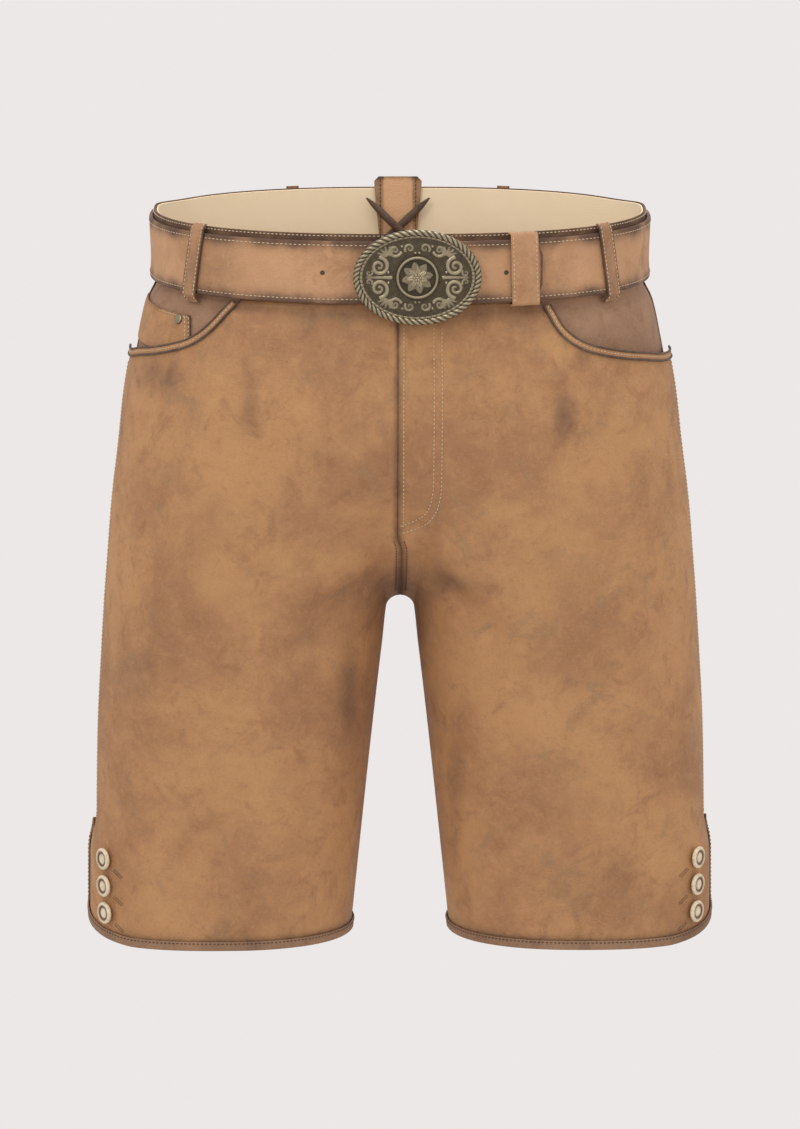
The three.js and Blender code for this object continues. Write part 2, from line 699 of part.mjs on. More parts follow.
add('coin_pocket', coinPocket(SIDES[0]), MATERIAL.facing, -1);
add('coin_pocket_rivet', coinRivet(), MATERIAL.metal, -1);
add('fly_underlap', flyUnderlap(), MATERIAL.body);
add('back_gusset', backGusset(), MATERIAL.gusset);
add('lace_under', laceStrand(1, 0), MATERIAL.lace);
add('lace_over', laceStrand(-1, LACE_RADIUS * 2 + 0.6), MATERIAL.lace);
add('lace_bar', laceBar(), MATERIAL.lace);
add('belt', beltStrap(), MATERIAL.belt);
add('belt_keeper', beltKeeper(), MATERIAL.belt);
add('buckle_plate', bucklePlate(), MATERIAL.metal);
add('buckle_rim', buckleRim(), MATERIAL.metal);
add('buckle_medallion', buckleMedallion(), MATERIAL.metal);

export default garment;
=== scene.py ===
"""Looks of a pair of lederhosen with their belt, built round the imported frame.

Sizes are in millimetres, as in the part's own source, and turned to metres when a mesh is made.
Every leather piece lies on one body form: a place on it is an angle (0 at the outer side, positive
to the front) and a level (a horizontal slice, tilted forwards near the waist).
"""
import math

import bpy
import numpy as np
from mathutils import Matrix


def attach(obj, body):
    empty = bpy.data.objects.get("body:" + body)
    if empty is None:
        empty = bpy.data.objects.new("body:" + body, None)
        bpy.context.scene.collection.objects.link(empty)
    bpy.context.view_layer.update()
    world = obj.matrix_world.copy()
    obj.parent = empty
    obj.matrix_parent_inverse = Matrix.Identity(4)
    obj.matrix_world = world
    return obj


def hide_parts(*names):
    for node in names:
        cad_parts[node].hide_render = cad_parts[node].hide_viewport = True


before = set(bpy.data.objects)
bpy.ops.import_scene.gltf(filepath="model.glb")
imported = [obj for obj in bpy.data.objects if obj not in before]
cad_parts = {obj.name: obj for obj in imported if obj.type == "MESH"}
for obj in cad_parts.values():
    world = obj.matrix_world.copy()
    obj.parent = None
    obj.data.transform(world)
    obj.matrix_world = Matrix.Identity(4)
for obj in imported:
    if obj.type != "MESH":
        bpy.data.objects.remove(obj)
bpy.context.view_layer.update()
MM = 0.001

# ------------------------------------------------------------------ driving sizes
LEATHER = 1.5
GAP = 0.3
SEAM = GAP / 2
WAIST_TOP = -2.5
BAND_HEIGHT = 45
BAND_WALL = 1.6
BAND_TOP = 0.8
BACK_DIP = 5
CROTCH = -284
HEM = -531
VENT_TOP = -449
PANEL_TOP = WAIST_TOP - BAND_HEIGHT - GAP
SQUARENESS = 2.3
ARCH_RADIUS = 8.8
WAIST_TILT = 0.12
TILT_FULL_LEVEL = -60
TILT_END_LEVEL = -180
MOUTH_END = -108
MOUTH_RUN = 5
MOUTH_LIFT = 3.7
FLY_EDGE_X = -3
FLY_BOTTOM = -228
FLY_WIDTH = 31
NOTCH_HALF_WIDTH = 12.5
NOTCH_BOTTOM = -70
FLAP_EDGE_Y = 6
FLAP_CORNER = 16
FLAP_REACH = 74
UNDERLAP_REACH = 50
FLAP_SHOULDER = 16
FLAP_LIFT = 4.5
UNDERLAP_Y = -38
UNDERLAP_TOP = -462
BELT_TOP = -4.2
BELT_BOTTOM = -47.8
BELT_WALL = 3.2
BELT_SEAT = BAND_WALL + 0.4
BUCKLE_X = 10.3
BUCKLE_Z = -43
BUCKLE_BACK_Y = -132.5
RIM_ACROSS = 42.3
RIM_UP = 30.8
RIM_WIRE = 2.5


def table(columns, rows):
    """A table of named columns, its rows from the top level down."""
    values = np.array(rows, float)[::-1]
    return {name: values[:, i] for i, name in enumerate(columns)}


FORM = table(("level", "side", "inner", "front", "back", "soft"), [
    (20, 176, -167.2, 119, 115, 25),
    (0, 176.5, -167.7, 120, 116, 25),
    (-35, 175.5, -166.7, 121, 118, 25),
    (-49, 176.5, -165, 122, 120, 25),
    (-68, 184.6, -160, 124.5, 126, 25),
    (-97, 191, -148, 126.5, 132, 24),
    (-126, 196.5, -131, 127, 136, 22),
    (-156, 202, -108, 126, 137.5, 19),
    (-190, 208, -80, 124, 136, 15),
    (-220, 211.5, -50, 121, 131, 10),
    (-250, 214, -25, 117.5, 124, 5),
    (-284, 216.8, 0, 113.5, 115.5, 1.7),
    (-320, 219.3, 4.5, 108, 107, 0.92),
    (-380, 222.8, 11.5, 100, 96, 0.92),
    (-440, 224.3, 18, 92.5, 87, 0.92),
    (-531, 225.5, 27.5, 84, 78, 0.92),
])
SIDE_SEAM = table(("level", "right", "left"), [
    (20, 4, 4), (-110, 4, 4), (-170, -8, -3), (-250, -17, -8), (-440, -17, -8)])
POCKET_MOUTH = table(("level", "right", "left"), [
    (-40, 109, 95), (-46, 112, 97), (-58, 120, 101.5), (-68, 128.5, 107), (-77, 137.5, 115),
    (-85, 148.5, 126.5), (-91, 161.5, 141), (-96, 174, 157), (-100, 184, 171.5),
    (-104, 190, 182.5), (-108, 196, 192)])
SIDES = (("right", -1), ("left", 1))


# ------------------------------------------------------------------ the body form
def ease(t):
    t = np.clip(t, 0, 1)
    return t * t * (3 - 2 * t)


def follow(rows, column, level):
    """Smooth value of a column that never overshoots its rows."""
    x, y = rows["level"], rows[column]
    level = np.clip(np.asarray(level, float), x[0], x[-1])
    span, rate = np.diff(x), np.diff(y) / np.diff(x)
    same = rate[:-1] * rate[1:] > 0
    mean = np.where(same, 2 * rate[:-1] * rate[1:] / np.where(same, rate[:-1] + rate[1:], 1), 0)
    slope = np.concatenate([rate[:1], mean, rate[-1:]])
    i = np.clip(np.searchsorted(x, level) - 1, 0, len(span) - 1)
    t = (level - x[i]) / span[i]
    leave, arrive = slope[i] * span[i], slope[i + 1] * span[i]
    rise = y[i + 1] - y[i]
    return y[i] + leave * t + (3 * rise - 2 * leave - arrive) * t**2 + (leave + arrive - 2 * rise) * t**3


def slices(level):
    side = follow(FORM, "side", level) - ARCH_RADIUS
    inner = follow(FORM, "inner", level)
    return ((side + inner) / 2, (side - inner) / 2, follow(FORM, "front", level),
            follow(FORM, "back", level), follow(FORM, "soft", level))


def tilt(level):
    return WAIST_TILT * ease((level - TILT_END_LEVEL) / (TILT_FULL_LEVEL - TILT_END_LEVEL))


def spread(x, soft):
    x = np.maximum(x, 0)
    part = 1 - np.minimum(x / soft, 1)
    return x + ARCH_RADIUS * np.sqrt(1 - part**2)


def unspread(x, soft):
    reach = np.hypot(ARCH_RADIUS, soft)
    inside = np.minimum(x, soft + ARCH_RADIUS)
    turn = np.arctan2(soft, ARCH_RADIUS) + np.arcsin(np.clip((inside - soft) / reach, -1, 1))
    return np.where(x >= soft + ARCH_RADIUS, x - ARCH_RADIUS, soft * (1 - np.cos(turn)))


def bend(v):
    return np.sign(v) * np.abs(v) ** (2 / SQUARENESS)


def unbend(v):
    return np.sign(v) * np.minimum(1, np.abs(v)) ** (SQUARENESS / 2)


def surface(angle, level):
    """Points of the form's left side, as an array whose last axis is x, y, z."""
    angle, level = np.broadcast_arrays(np.asarray(angle, float), np.asarray(level, float))
    centre, half, front, back, soft = slices(level)
    x = spread(centre + half * bend(np.cos(angle)), soft)
    y = -np.where(angle > 0, front, back) * bend(np.sin(angle))
    return np.stack([x, y, level + tilt(level) * y], -1)


def depth_in_form(x, y, z):
    level = z
    for _ in range(6):
        level = z - tilt(level) * y
    centre, half, front, back, soft = slices(level)
    across = np.abs(unspread(np.abs(x), soft) - centre) / half
    through = np.abs(y) / np.where(y < 0, front, back)
    return across**SQUARENESS + through**SQUARENESS


def normals(p):
    h = 0.05
    x, y, z = p[..., 0], p[..., 1], p[..., 2]
    n = np.stack([
        depth_in_form(x + h, y, z) - depth_in_form(x - h, y, z),
        depth_in_form(x, y + h, z) - depth_in_form(x, y - h, z),
        depth_in_form(x, y, z + h) - depth_in_form(x, y, z - h)], -1)
    return n / np.linalg.norm(n, axis=-1, keepdims=True)


def raised(p, lift):
    return p + normals(p) * np.asarray(lift)[..., None]


def inner_angle(level, face):
    centre, half, *_ = slices(level)
    return face * np.arccos(-unbend(np.minimum(1, centre / half)))


def angle_at_x(level, x, face):
    centre, half, _, _, soft = slices(level)
    return face * np.arccos(np.clip(unbend((unspread(x, soft) - centre) / half), -1, 1))


def angle_at_y(level, y):
    _, _, front, back, _ = slices(level)
    return -np.arcsin(unbend(y / np.where(np.asarray(y) < 0, front, back)))


def between(a, b, t):
    return a + (b - a) * t


# ------------------------------------------------------------------ the garment's own rules
def notch_half_width(level):
    return np.maximum(SEAM, NOTCH_HALF_WIDTH * (level - NOTCH_BOTTOM) / (WAIST_TOP - NOTCH_BOTTOM))


def front_lift(p, level):
    mouth = ease((p[..., 0] - 60) / 50) * ease((level + 190) / 70) * ease((-48 - level) / 14)
    flap = ease((p[..., 1] + 105) / 60) * ease((VENT_TOP + 10 - level) / 36) * ease((p[..., 0] - 125) / 60)
    return MOUTH_LIFT * mouth + FLAP_LIFT * flap


def facing_lift(level):
    return between(-1.9, -1.2, ease((-48 - level) / 14)) - 3.4 * ease((-100 - level) / 8)


def front_edge_y(level, side):
    seam = follow(SIDE_SEAM, side, level)
    below = np.clip((HEM + FLAP_CORNER - level) / FLAP_CORNER, 0, 1)
    cut = FLAP_REACH * below**1.3
    above = np.clip((VENT_TOP - level) / FLAP_SHOULDER, 0, 1)
    flap = between(seam, FLAP_EDGE_Y, np.sqrt(1 - (1 - above) ** 2)) - cut
    return np.where(level >= VENT_TOP, seam, flap)


def back_edge_y(level, side):
    """The back runs on under the flap, and its lower corner is rounded like the flap's."""
    seam = follow(SIDE_SEAM, side, level)
    below = np.clip((HEM + FLAP_CORNER - level) / FLAP_CORNER, 0, 1)
    cut = UNDERLAP_REACH * below**1.3
    return between(seam, UNDERLAP_Y, ease((UNDERLAP_TOP + 8 - level) / 22)) + cut


def front_outer_angle(level, side):
    mouth = angle_at_x(level, follow(POCKET_MOUTH, side, level), 1)
    seam = angle_at_y(level, front_edge_y(level, side))
    mouth = between(mouth, seam, np.clip((MOUTH_END + MOUTH_RUN - level) / MOUTH_RUN, 0, 1) ** 3)
    return np.where(level > MOUTH_END, mouth, seam)


def fly_shift(p, level, sign):
    """The left front laps the right one at the fly, so the seam stands off the centre there."""
    shift = FLY_EDGE_X * sign * ease((level - FLY_BOTTOM + 12) / 12)
    q = p.copy()
    q[..., 0] = np.maximum(SEAM + shift, q[..., 0] + shift * np.clip(1 - q[..., 0] / 80, 0, 1))
    return q


# Broad soft troughs (negative) and ridges of worn leather: face, x, z, half length and half width,
# lean in degrees from upright, depth.
FOLD_SCALE = 1.5
FOLDS = (
    ("front", -20, -262, 60, 9, 62, -2.2),
    ("front", 22, -262, 56, 9, -60, -2.0),
    ("front", -52, -292, 52, 10, 48, -1.6),
    ("front", 56, -296, 60, 11, -42, -1.8),
    ("front", -34, -232, 46, 10, 74, -1.3),
    ("front", 40, -226, 50, 10, -78, -1.2),
    ("front", -118, -170, 90, 20, 12, 1.0),
    ("front", 120, -180, 95, 22, -10, 1.1),
    ("front", -150, -330, 110, 17, 6, -1.5),
    ("front", 150, -352, 100, 18, -8, -1.6),
    ("front", -88, -400, 120, 16, -4, 1.5),
    ("front", 92, -390, 115, 16, 5, 1.4),
    ("front", -178, -430, 70, 12, -6, -1.2),
    ("front", 180, -420, 74, 12, 8, -1.3),
    ("front", -70, -470, 55, 10, 10, -1.0),
    ("front", 64, -462, 60, 11, -12, -1.1),
    ("front", -92, -112, 40, 9, 55, -0.9),
    ("front", 84, -120, 44, 9, -50, -0.9),
    ("back", -60, -300, 80, 12, 40, -2.6),
    ("back", 62, -304, 84, 12, -38, -2.4),
    ("back", -34, -262, 60, 10, 64, -2.2),
    ("back", 30, -266, 64, 10, -62, -2.3),
    ("back", -120, -392, 110, 17, 5, -1.7),
    ("back", 122, -384, 104, 17, -6, -1.8),
    ("back", -150, -230, 90, 20, 14, 1.2),
    ("back", 148, -240, 90, 20, -12, 1.1),
    ("back", -96, -456, 66, 12, -8, 1.3),
    ("back", 98, -450, 60, 12, 9, 1.2),
    ("back", -70, -96, 44, 10, 40, -1.2),
    ("back", 74, -100, 46, 10, -42, -1.1),
)


def fold_depth(p, face, sign):
    """How far the folds move the leather out at points p of one side."""
    x, z = p[..., 0] * sign, p[..., 2]
    total = np.zeros_like(x)
    for fold_face, fx, fz, long, wide, lean, depth in FOLDS:
        if fold_face != face:
            continue
        a = math.radians(lean)
        along = (z - fz) * math.cos(a) + (x - fx) * math.sin(a)
        across = (x - fx) * math.cos(a) - (z - fz) * math.sin(a)
        bow = across + 0.0016 * along**2
        total += FOLD_SCALE * depth * np.exp(-((along / long) ** 4) - (bow / wide) ** 2)
    return total


def panel_ease(p, level, face, side):
    """Folds fade out where a piece is held: the waist, the hem and the seams."""
    seam = follow(SIDE_SEAM, side, level)
    near_side = ease(np.abs(p[..., 1] - seam) / 26)
    near_waist = ease((PANEL_TOP - 8 - level) / 34)
    near_hem = 0.35 + 0.65 * ease((level - HEM - 6) / 40)
    near_centre = np.where(level > CROTCH, ease(p[..., 0] / 16), ease(np.abs(p[..., 1]) / 16))
    return near_side * near_waist * near_hem * near_centre


# ------------------------------------------------------------------ meshes
def linear(hex_colour):
    values = [int(hex_colour[i:i + 2], 16) / 255 for i in (1, 3, 5)]
    return tuple(v / 12.92 if v <= 0.04045 else ((v + 0.055) / 1.055) ** 2.4 for v in values) + (1,)


def make(name, points, faces, material, sign=1, attributes=None, smooth=True):
    """A mesh object from points in millimetres; sign -1 mirrors it to the wearer's right."""
    points = np.asarray(points, float).reshape(-1, 3) * MM
    if sign < 0:
        points = points * (-1, 1, 1)
        faces = [f[::-1] for f in faces]
    mesh = bpy.data.meshes.new(name)
    mesh.from_pydata(points.tolist(), [], faces)
    mesh.validate()
    for key, values in (attributes or {}).items():
        layer = mesh.attributes.new(key, "FLOAT", "POINT")
        layer.data.foreach_set("value", np.asarray(values, float).ravel())
    if smooth:
        mesh.polygons.foreach_set("use_smooth", [True] * len(mesh.polygons))
    mesh.materials.append(material)
    mesh.update()
    piece = bpy.data.objects.new(name + "_piece", mesh)
    bpy.context.scene.collection.objects.link(piece)
    return piece


def grid_faces(rows, columns, start=0, turned=False, closed=False):
    faces = []
    for i in range(rows - 1):
        for j in range(columns if closed else columns - 1):
            k = (j + 1) % columns
            f = (start + i * columns + j, start + (i + 1) * columns + j,
                 start + (i + 1) * columns + k, start + i * columns + k)
            faces.append(f[::-1] if turned else f)
    return faces


def volume_sign(points, faces):
    total = 0.0
    for f in faces:
        for k in range(1, len(f) - 1):
            total += np.dot(points[f[0]], np.cross(points[f[k]], points[f[k + 1]]))
    return total


def outward(points, faces):
    """The faces, all turned if they point into the solid."""
    tri = np.array([(f[0], f[k], f[k + 1]) for f in faces for k in range(1, len(f) - 1)])
    a, b, c = points[tri[:, 0]], points[tri[:, 1]], points[tri[:, 2]]
    return faces if np.einsum("ij,ij->", a, np.cross(b, c)) > 0 else [f[::-1] for f in faces]


def wall(outer, inner):
    """Points and faces of a closed wall between two grids of the same size."""
    rows, columns, _ = outer.shape
    points = np.concatenate([outer.reshape(-1, 3), inner.reshape(-1, 3)])
    n = rows * columns
    faces = grid_faces(rows, columns) + grid_faces(rows, columns, n, turned=True)
    ring = ([(0, j) for j in range(columns - 1)] + [(i, columns - 1) for i in range(rows - 1)]
            + [(rows - 1, j) for j in range(columns - 1, 0, -1)] + [(i, 0) for i in range(rows - 1, 0, -1)])
    loop = [i * columns + j for i, j in ring]
    for a, b in zip(loop, loop[1:] + loop[:1]):
        faces.append((a, b, b + n, a + n))
    return points, outward(points, faces)


def sweep(path, outs, profile, closed=False):
    """A closed profile of (sideways, outwards) points carried along a path."""
    path, outs, profile = np.asarray(path, float), np.asarray(outs, float), np.asarray(profile, float)
    if closed:
        along = np.roll(path, -1, 0) - np.roll(path, 1, 0)
    else:
        along = np.gradient(path, axis=0)
    along /= np.linalg.norm(along, axis=1, keepdims=True)
    sideways = np.cross(outs, along)
    sideways /= np.linalg.norm(sideways, axis=1, keepdims=True)
    rings = path[:, None] + sideways[:, None] * profile[None, :, :1] + outs[:, None] * profile[None, :, 1:]
    rows, columns, _ = rings.shape
    if closed:
        rings = np.concatenate([rings, rings[:1]])
        faces = [tuple(v % (rows * columns) for v in f) for f in grid_faces(rows + 1, columns, closed=True)]
        points = rings[:-1].reshape(-1, 3)
    else:
        faces = grid_faces(rows, columns, closed=True)
        last = (rows - 1) * columns
        faces += [tuple(range(columns)), tuple(last + k for k in reversed(range(columns)))]
        points = rings.reshape(-1, 3)
    return points, outward(points, faces)


def rounded(width, height, corner, low=0.0, steps=4):
    """Profile of a strap: width sideways, height outwards from low, with rounded corners."""
    centres = ((width / 2 - corner, low + height - corner, 0), (-width / 2 + corner, low + height - corner, 90),
               (-width / 2 + corner, low + corner, 180), (width / 2 - corner, low + corner, 270))
    return [(cx + corner * math.cos(math.radians(start + 90 * k / steps)),
             cy + corner * math.sin(math.radians(start + 90 * k / steps)))
            for cx, cy, start in centres for k in range(steps + 1)]


# ------------------------------------------------------------------ material nodes
def add(tree, kind, values=None, links=None, **settings):
    """Adds a node, sets its properties and input values, and links inputs to other outputs."""
    node = tree.nodes.new(kind)
    for key, value in settings.items():
        setattr(node, key, value)
    for key, value in (values or {}).items():
        node.inputs[key].default_value = value
    for key, source in (links or {}).items():
        tree.links.new(source, node.inputs[key])
    return node


def new_material(name):
    material = bpy.data.materials.new(name)
    material.use_nodes = True
    tree = material.node_tree
    tree.nodes.clear()
    output = tree.nodes.new("ShaderNodeOutputMaterial")
    shader = tree.nodes.new("ShaderNodeBsdfPrincipled")
    tree.links.new(shader.outputs[0], output.inputs[0])
    return material, tree, shader


def mix(tree, factor, a, b, blend_type="MIX"):
    """Colour mix; each of a and b is a hex colour or an output."""
    node = add(tree, "ShaderNodeMix", data_type="RGBA", blend_type=blend_type)
    for socket, value in ((node.inputs[6], a), (node.inputs[7], b)):
        if isinstance(value, str):
            socket.default_value = linear(value)
        else:
            tree.links.new(value, socket)
    if isinstance(factor, (int, float)):
        node.inputs[0].default_value = factor
    else:
        tree.links.new(factor, node.inputs[0])
    return node.outputs[2]


def ramp(tree, source, low, high):
    """Remaps a value smoothly from low..high to 0..1."""
    node = add(tree, "ShaderNodeMapRange", {"From Min": low, "From Max": high}, {"Value": source},
               interpolation_type="SMOOTHSTEP")
    return node.outputs[0]


def times(tree, a, b):
    node = add(tree, "ShaderNodeMath", operation="MULTIPLY")
    for socket, value in zip(node.inputs, (a, b)):
        if isinstance(value, (int, float)):
            socket.default_value = value
        else:
            tree.links.new(value, socket)
    return node.outputs[0]


# Tints for the darker marks: stains and burnished edges, and also painted shade under the belt, between the legs and
# along the side seams.
STAIN_AND_SHADE_TINT = "#6f5140"
ASHEN = "#92775a"
BURNISH_AND_SHADE_TINT = "#4c382e"


def leather(name, base, light, dark, grain_mm, roughness, bump=0.5, mottle=1.0):
    """Tanned hide with its grain left on: pebbled at about grain_mm, mottled where hands have rubbed it, and tinted by
    its mark attributes, which hold painted light and painted shade as well as stains, wear and burnished edges.
    """
    material, tree, shader = new_material(name)
    where = add(tree, "ShaderNodeTexCoord").outputs["Object"]

    def noise(size_mm, detail, roughness, distortion=0.0):
        return add(tree, "ShaderNodeTexNoise", {"Scale": 1000 / size_mm, "Detail": detail, "Roughness": roughness,
                                                "Distortion": distortion}, {"Vector": where}).outputs[0]

    clouds, patches, fine = noise(75, 7, 0.62, 0.3), noise(19, 6, 0.68, 0.6), noise(2.4, 4, 0.72)
    creases = noise(7, 5, 0.75, 1.6)
    pebbles = add(tree, "ShaderNodeTexVoronoi", {"Scale": 1000 / grain_mm, "Randomness": 1.0},
                  {"Vector": where}).outputs[0]
    colour = mix(tree, ramp(tree, clouds, 0.34, 0.62), dark, light)
    colour = mix(tree, 0.5, colour, base)
    colour = mix(tree, times(tree, ramp(tree, patches, 0.5, 0.7), 0.55 * mottle), colour, dark)
    colour = mix(tree, times(tree, ramp(tree, patches, 0.5, 0.3), 0.35 * mottle), colour, light)
    ashes = noise(31, 6, 0.7, 0.9)
    colour = mix(tree, times(tree, ramp(tree, ashes, 0.52, 0.72), 0.55 * mottle), colour, ASHEN)
    colour = mix(tree, times(tree, ramp(tree, fine, 0.5, 0.72), 0.3 * mottle), colour, light)
    colour = mix(tree, times(tree, ramp(tree, fine, 0.48, 0.3), 0.3 * mottle), colour, dark)
    # Marks painted from attributes: the lighter ones are worn spots and painted light on the thigh fronts; the darker
    # ones are stains, burnish and painted shade.
    for key, tint, amount in (("light", light, 0.6), ("stain_and_shade", STAIN_AND_SHADE_TINT, 0.85), ("burnish_and_shade", BURNISH_AND_SHADE_TINT, 0.9)):
        mark = add(tree, "ShaderNodeAttribute", attribute_name=key).outputs["Fac"]
        edge = add(tree, "ShaderNodeMath", {1: 0.45}, {0: mark}, operation="MULTIPLY_ADD")
        tree.links.new(times(tree, patches, mark), edge.inputs[2])
        colour = mix(tree, times(tree, ramp(tree, edge.outputs[0], 0.02, 0.85), amount), colour, tint)
    tree.links.new(colour, shader.inputs["Base Color"])
    rough = add(tree, "ShaderNodeMapRange", {"From Min": 0.3, "From Max": 0.7, "To Min": roughness - 0.08,
                                             "To Max": roughness + 0.1}, {"Value": patches}).outputs[0]
    tree.links.new(rough, shader.inputs["Roughness"])
    height = add(tree, "ShaderNodeMath", {1: 0.8}, {0: fine, 2: pebbles}, operation="MULTIPLY_ADD").outputs[0]
    height = add(tree, "ShaderNodeMath", {1: 3.0}, {0: creases, 2: height}, operation="MULTIPLY_ADD").outputs[0]
    relief = add(tree, "ShaderNodeBump", {"Strength": bump, "Distance": 0.0004}, {"Height": height})
    tree.links.new(relief.outputs[0], shader.inputs["Normal"])
    shader.inputs["Specular IOR Level"].default_value = 0.3
    return material


def plain_thread(name, colour):
    """Waxed linen thread, laid in short firm stitches."""
    material, tree, shader = new_material(name)
    where = add(tree, "ShaderNodeTexCoord").outputs["Object"]
    twist = add(tree, "ShaderNodeTexNoise", {"Scale": 1 / 0.0009, "Detail": 2}, {"Vector": where}).outputs[0]
    tree.links.new(mix(tree, times(tree, twist, 0.5), colour, "#3a2c22"), shader.inputs["Base Color"])
    shader.inputs["Roughness"].default_value = 0.7
    return material


def cotton_lining():
    """Fine twill lining: even, matt, slightly darker where it falls into shade low down."""
    material, tree, shader = new_material("cotton_twill_lining")
    where = add(tree, "ShaderNodeTexCoord").outputs["Object"]
    clouds = add(tree, "ShaderNodeTexNoise", {"Scale": 1 / 0.03, "Detail": 3}, {"Vector": where}).outputs[0]
    tree.links.new(mix(tree, times(tree, clouds, 0.35), "#fdebca", "#f0d2a2"), shader.inputs["Base Color"])
    twill = add(tree, "ShaderNodeTexWave", {"Scale": 1 / 0.0036, "Distortion": 0.4}, {"Vector": where},
                bands_direction="DIAGONAL").outputs[0]
    relief = add(tree, "ShaderNodeBump", {"Strength": 0.15, "Distance": 0.0002}, {"Height": twill})
    tree.links.new(relief.outputs[0], shader.inputs["Normal"])
    shader.inputs["Roughness"].default_value = 0.9
    return material


def cast_metal():
    """Cast white metal, blackened and rubbed back, so its hollows stay dark and its high places shine."""
    material, tree, shader = new_material("antiqued_cast_white_metal")
    where = add(tree, "ShaderNodeTexCoord").outputs["Object"]
    relief_mark = add(tree, "ShaderNodeAttribute", attribute_name="relief").outputs["Fac"]
    grime = add(tree, "ShaderNodeTexNoise", {"Scale": 1 / 0.003, "Detail": 4, "Roughness": 0.7},
                {"Vector": where}).outputs[0]
    height = add(tree, "ShaderNodeMath", {1: 0.35}, {0: grime, 2: relief_mark}, operation="MULTIPLY_ADD").outputs[0]
    bright = ramp(tree, height, 0.05, 1.3)
    tree.links.new(mix(tree, bright, "#3b3226", "#a89b80"), shader.inputs["Base Color"])
    rough = add(tree, "ShaderNodeMapRange", {"To Min": 0.62, "To Max": 0.3}, {"Value": bright}).outputs[0]
    tree.links.new(rough, shader.inputs["Roughness"])
    shader.inputs["Metallic"].default_value = 0.9
    bump = add(tree, "ShaderNodeBump", {"Strength": 0.6, "Distance": 0.0004}, {"Height": grime})
    tree.links.new(bump.outputs[0], shader.inputs["Normal"])
    return material


def polished_horn():
    """Turned stag horn: cream outside, a scorched brown ring in the recess, polished."""
    material, tree, shader = new_material("polished_stag_horn")
    where = add(tree, "ShaderNodeTexCoord").outputs["Object"]
    ring = add(tree, "ShaderNodeAttribute", attribute_name="ring").outputs["Fac"]
    streaks = add(tree, "ShaderNodeTexNoise", {"Scale": 1 / 0.0025, "Detail": 4, "Distortion": 1.0},
                  {"Vector": where}).outputs[0]
    cream = mix(tree, times(tree, ramp(tree, streaks, 0.45, 0.75), 0.6), "#e2d3b4", "#a98a62")
    tree.links.new(mix(tree, ring, cream, "#6b4a30"), shader.inputs["Base Color"])
    shader.inputs["Roughness"].default_value = 0.35
    return material


BODY = leather("tanned_goatskin_body", "#b08159", "#c39463", "#90684b", 0.9, 0.72)
FACING = leather("tanned_goatskin_facing", "#9f7b61", "#ad886b", "#84634c", 0.9, 0.75)
BELT = leather("burnished_cowhide_belt", "#bd8f69", "#cb9d74", "#98704f", 1.3, 0.6)
TRIM = leather("dark_binding_leather", "#8f6e55", "#a37f63", "#6e5442", 0.8, 0.7)
GUSSET = leather("tan_lining_leather", "#e0b184", "#e9be93", "#c89b70", 1.0, 0.75, mottle=0.5)
LACE = leather("dark_lace_leather", "#5f493c", "#74604f", "#45342a", 0.8, 0.72)
LINING = cotton_lining()
METAL = cast_metal()
HORN = polished_horn()
LIGHT_THREAD = plain_thread("waxed_linen_thread", "#e6cfab")
BROWN_THREAD = plain_thread("brown_linen_thread", "#6f523c")
DARK_THREAD = plain_thread("dark_linen_thread", "#4e3a2d")


# ------------------------------------------------------------------ what repeats
def group_tree(name, inputs):
    tree = bpy.data.node_groups.new(name, "GeometryNodeTree")
    tree.interface.new_socket("Geometry", in_out="INPUT", socket_type="NodeSocketGeometry")
    for label, kind in inputs:
        tree.interface.new_socket(label, in_out="INPUT", socket_type=kind)
    tree.interface.new_socket("Geometry", in_out="OUTPUT", socket_type="NodeSocketGeometry")
    return tree, tree.nodes.new("NodeGroupInput"), tree.nodes.new("NodeGroupOutput")


def stitch_tree():
    """A rounded stitch on each point, lying along its heading and standing on its outward direction."""
    tree, given, result = group_tree("stitches", (
        ("Length", "NodeSocketFloat"), ("Width", "NodeSocketFloat"), ("Thread", "NodeSocketMaterial")))
    ball = add(tree, "GeometryNodeMeshUVSphere", {"Segments": 6, "Rings": 4, "Radius": 0.5})
    size = add(tree, "ShaderNodeCombineXYZ", {}, {"X": given.outputs["Length"], "Y": given.outputs["Width"],
                                                 "Z": given.outputs["Width"]})
    shape = add(tree, "GeometryNodeTransform", {}, {"Geometry": ball.outputs[0], "Scale": size.outputs[0]})
    heading = add(tree, "GeometryNodeInputNamedAttribute", {"Name": "heading"}, data_type="FLOAT_VECTOR")
    out = add(tree, "GeometryNodeInputNamedAttribute", {"Name": "out"}, data_type="FLOAT_VECTOR")
    turn = add(tree, "FunctionNodeAxesToRotation", {}, {"Primary Axis": out.outputs[0],
                                                       "Secondary Axis": heading.outputs[0]})
    turn.primary_axis, turn.secondary_axis = "Z", "X"
    copies = add(tree, "GeometryNodeInstanceOnPoints", {}, {
        "Points": given.outputs[0], "Instance": shape.outputs[0], "Rotation": turn.outputs[0]})
    real = add(tree, "GeometryNodeRealizeInstances", {}, {"Geometry": copies.outputs[0]})
    painted = add(tree, "GeometryNodeSetMaterial", {}, {"Geometry": real.outputs[0],
                                                       "Material": given.outputs["Thread"]})
    tree.links.new(painted.outputs[0], result.inputs[0])
    return tree


STITCH_TREE = stitch_tree()


def baked(carrier, name):
    """The carrier's evaluated mesh as a plain object; the carrier goes."""
    depsgraph = bpy.context.evaluated_depsgraph_get()
    mesh = bpy.data.meshes.new_from_object(carrier.evaluated_get(depsgraph))
    piece = bpy.data.objects.new(name, mesh)
    bpy.context.scene.collection.objects.link(piece)
    carrier.modifiers.clear()
    bpy.data.objects.remove(carrier)
    return piece


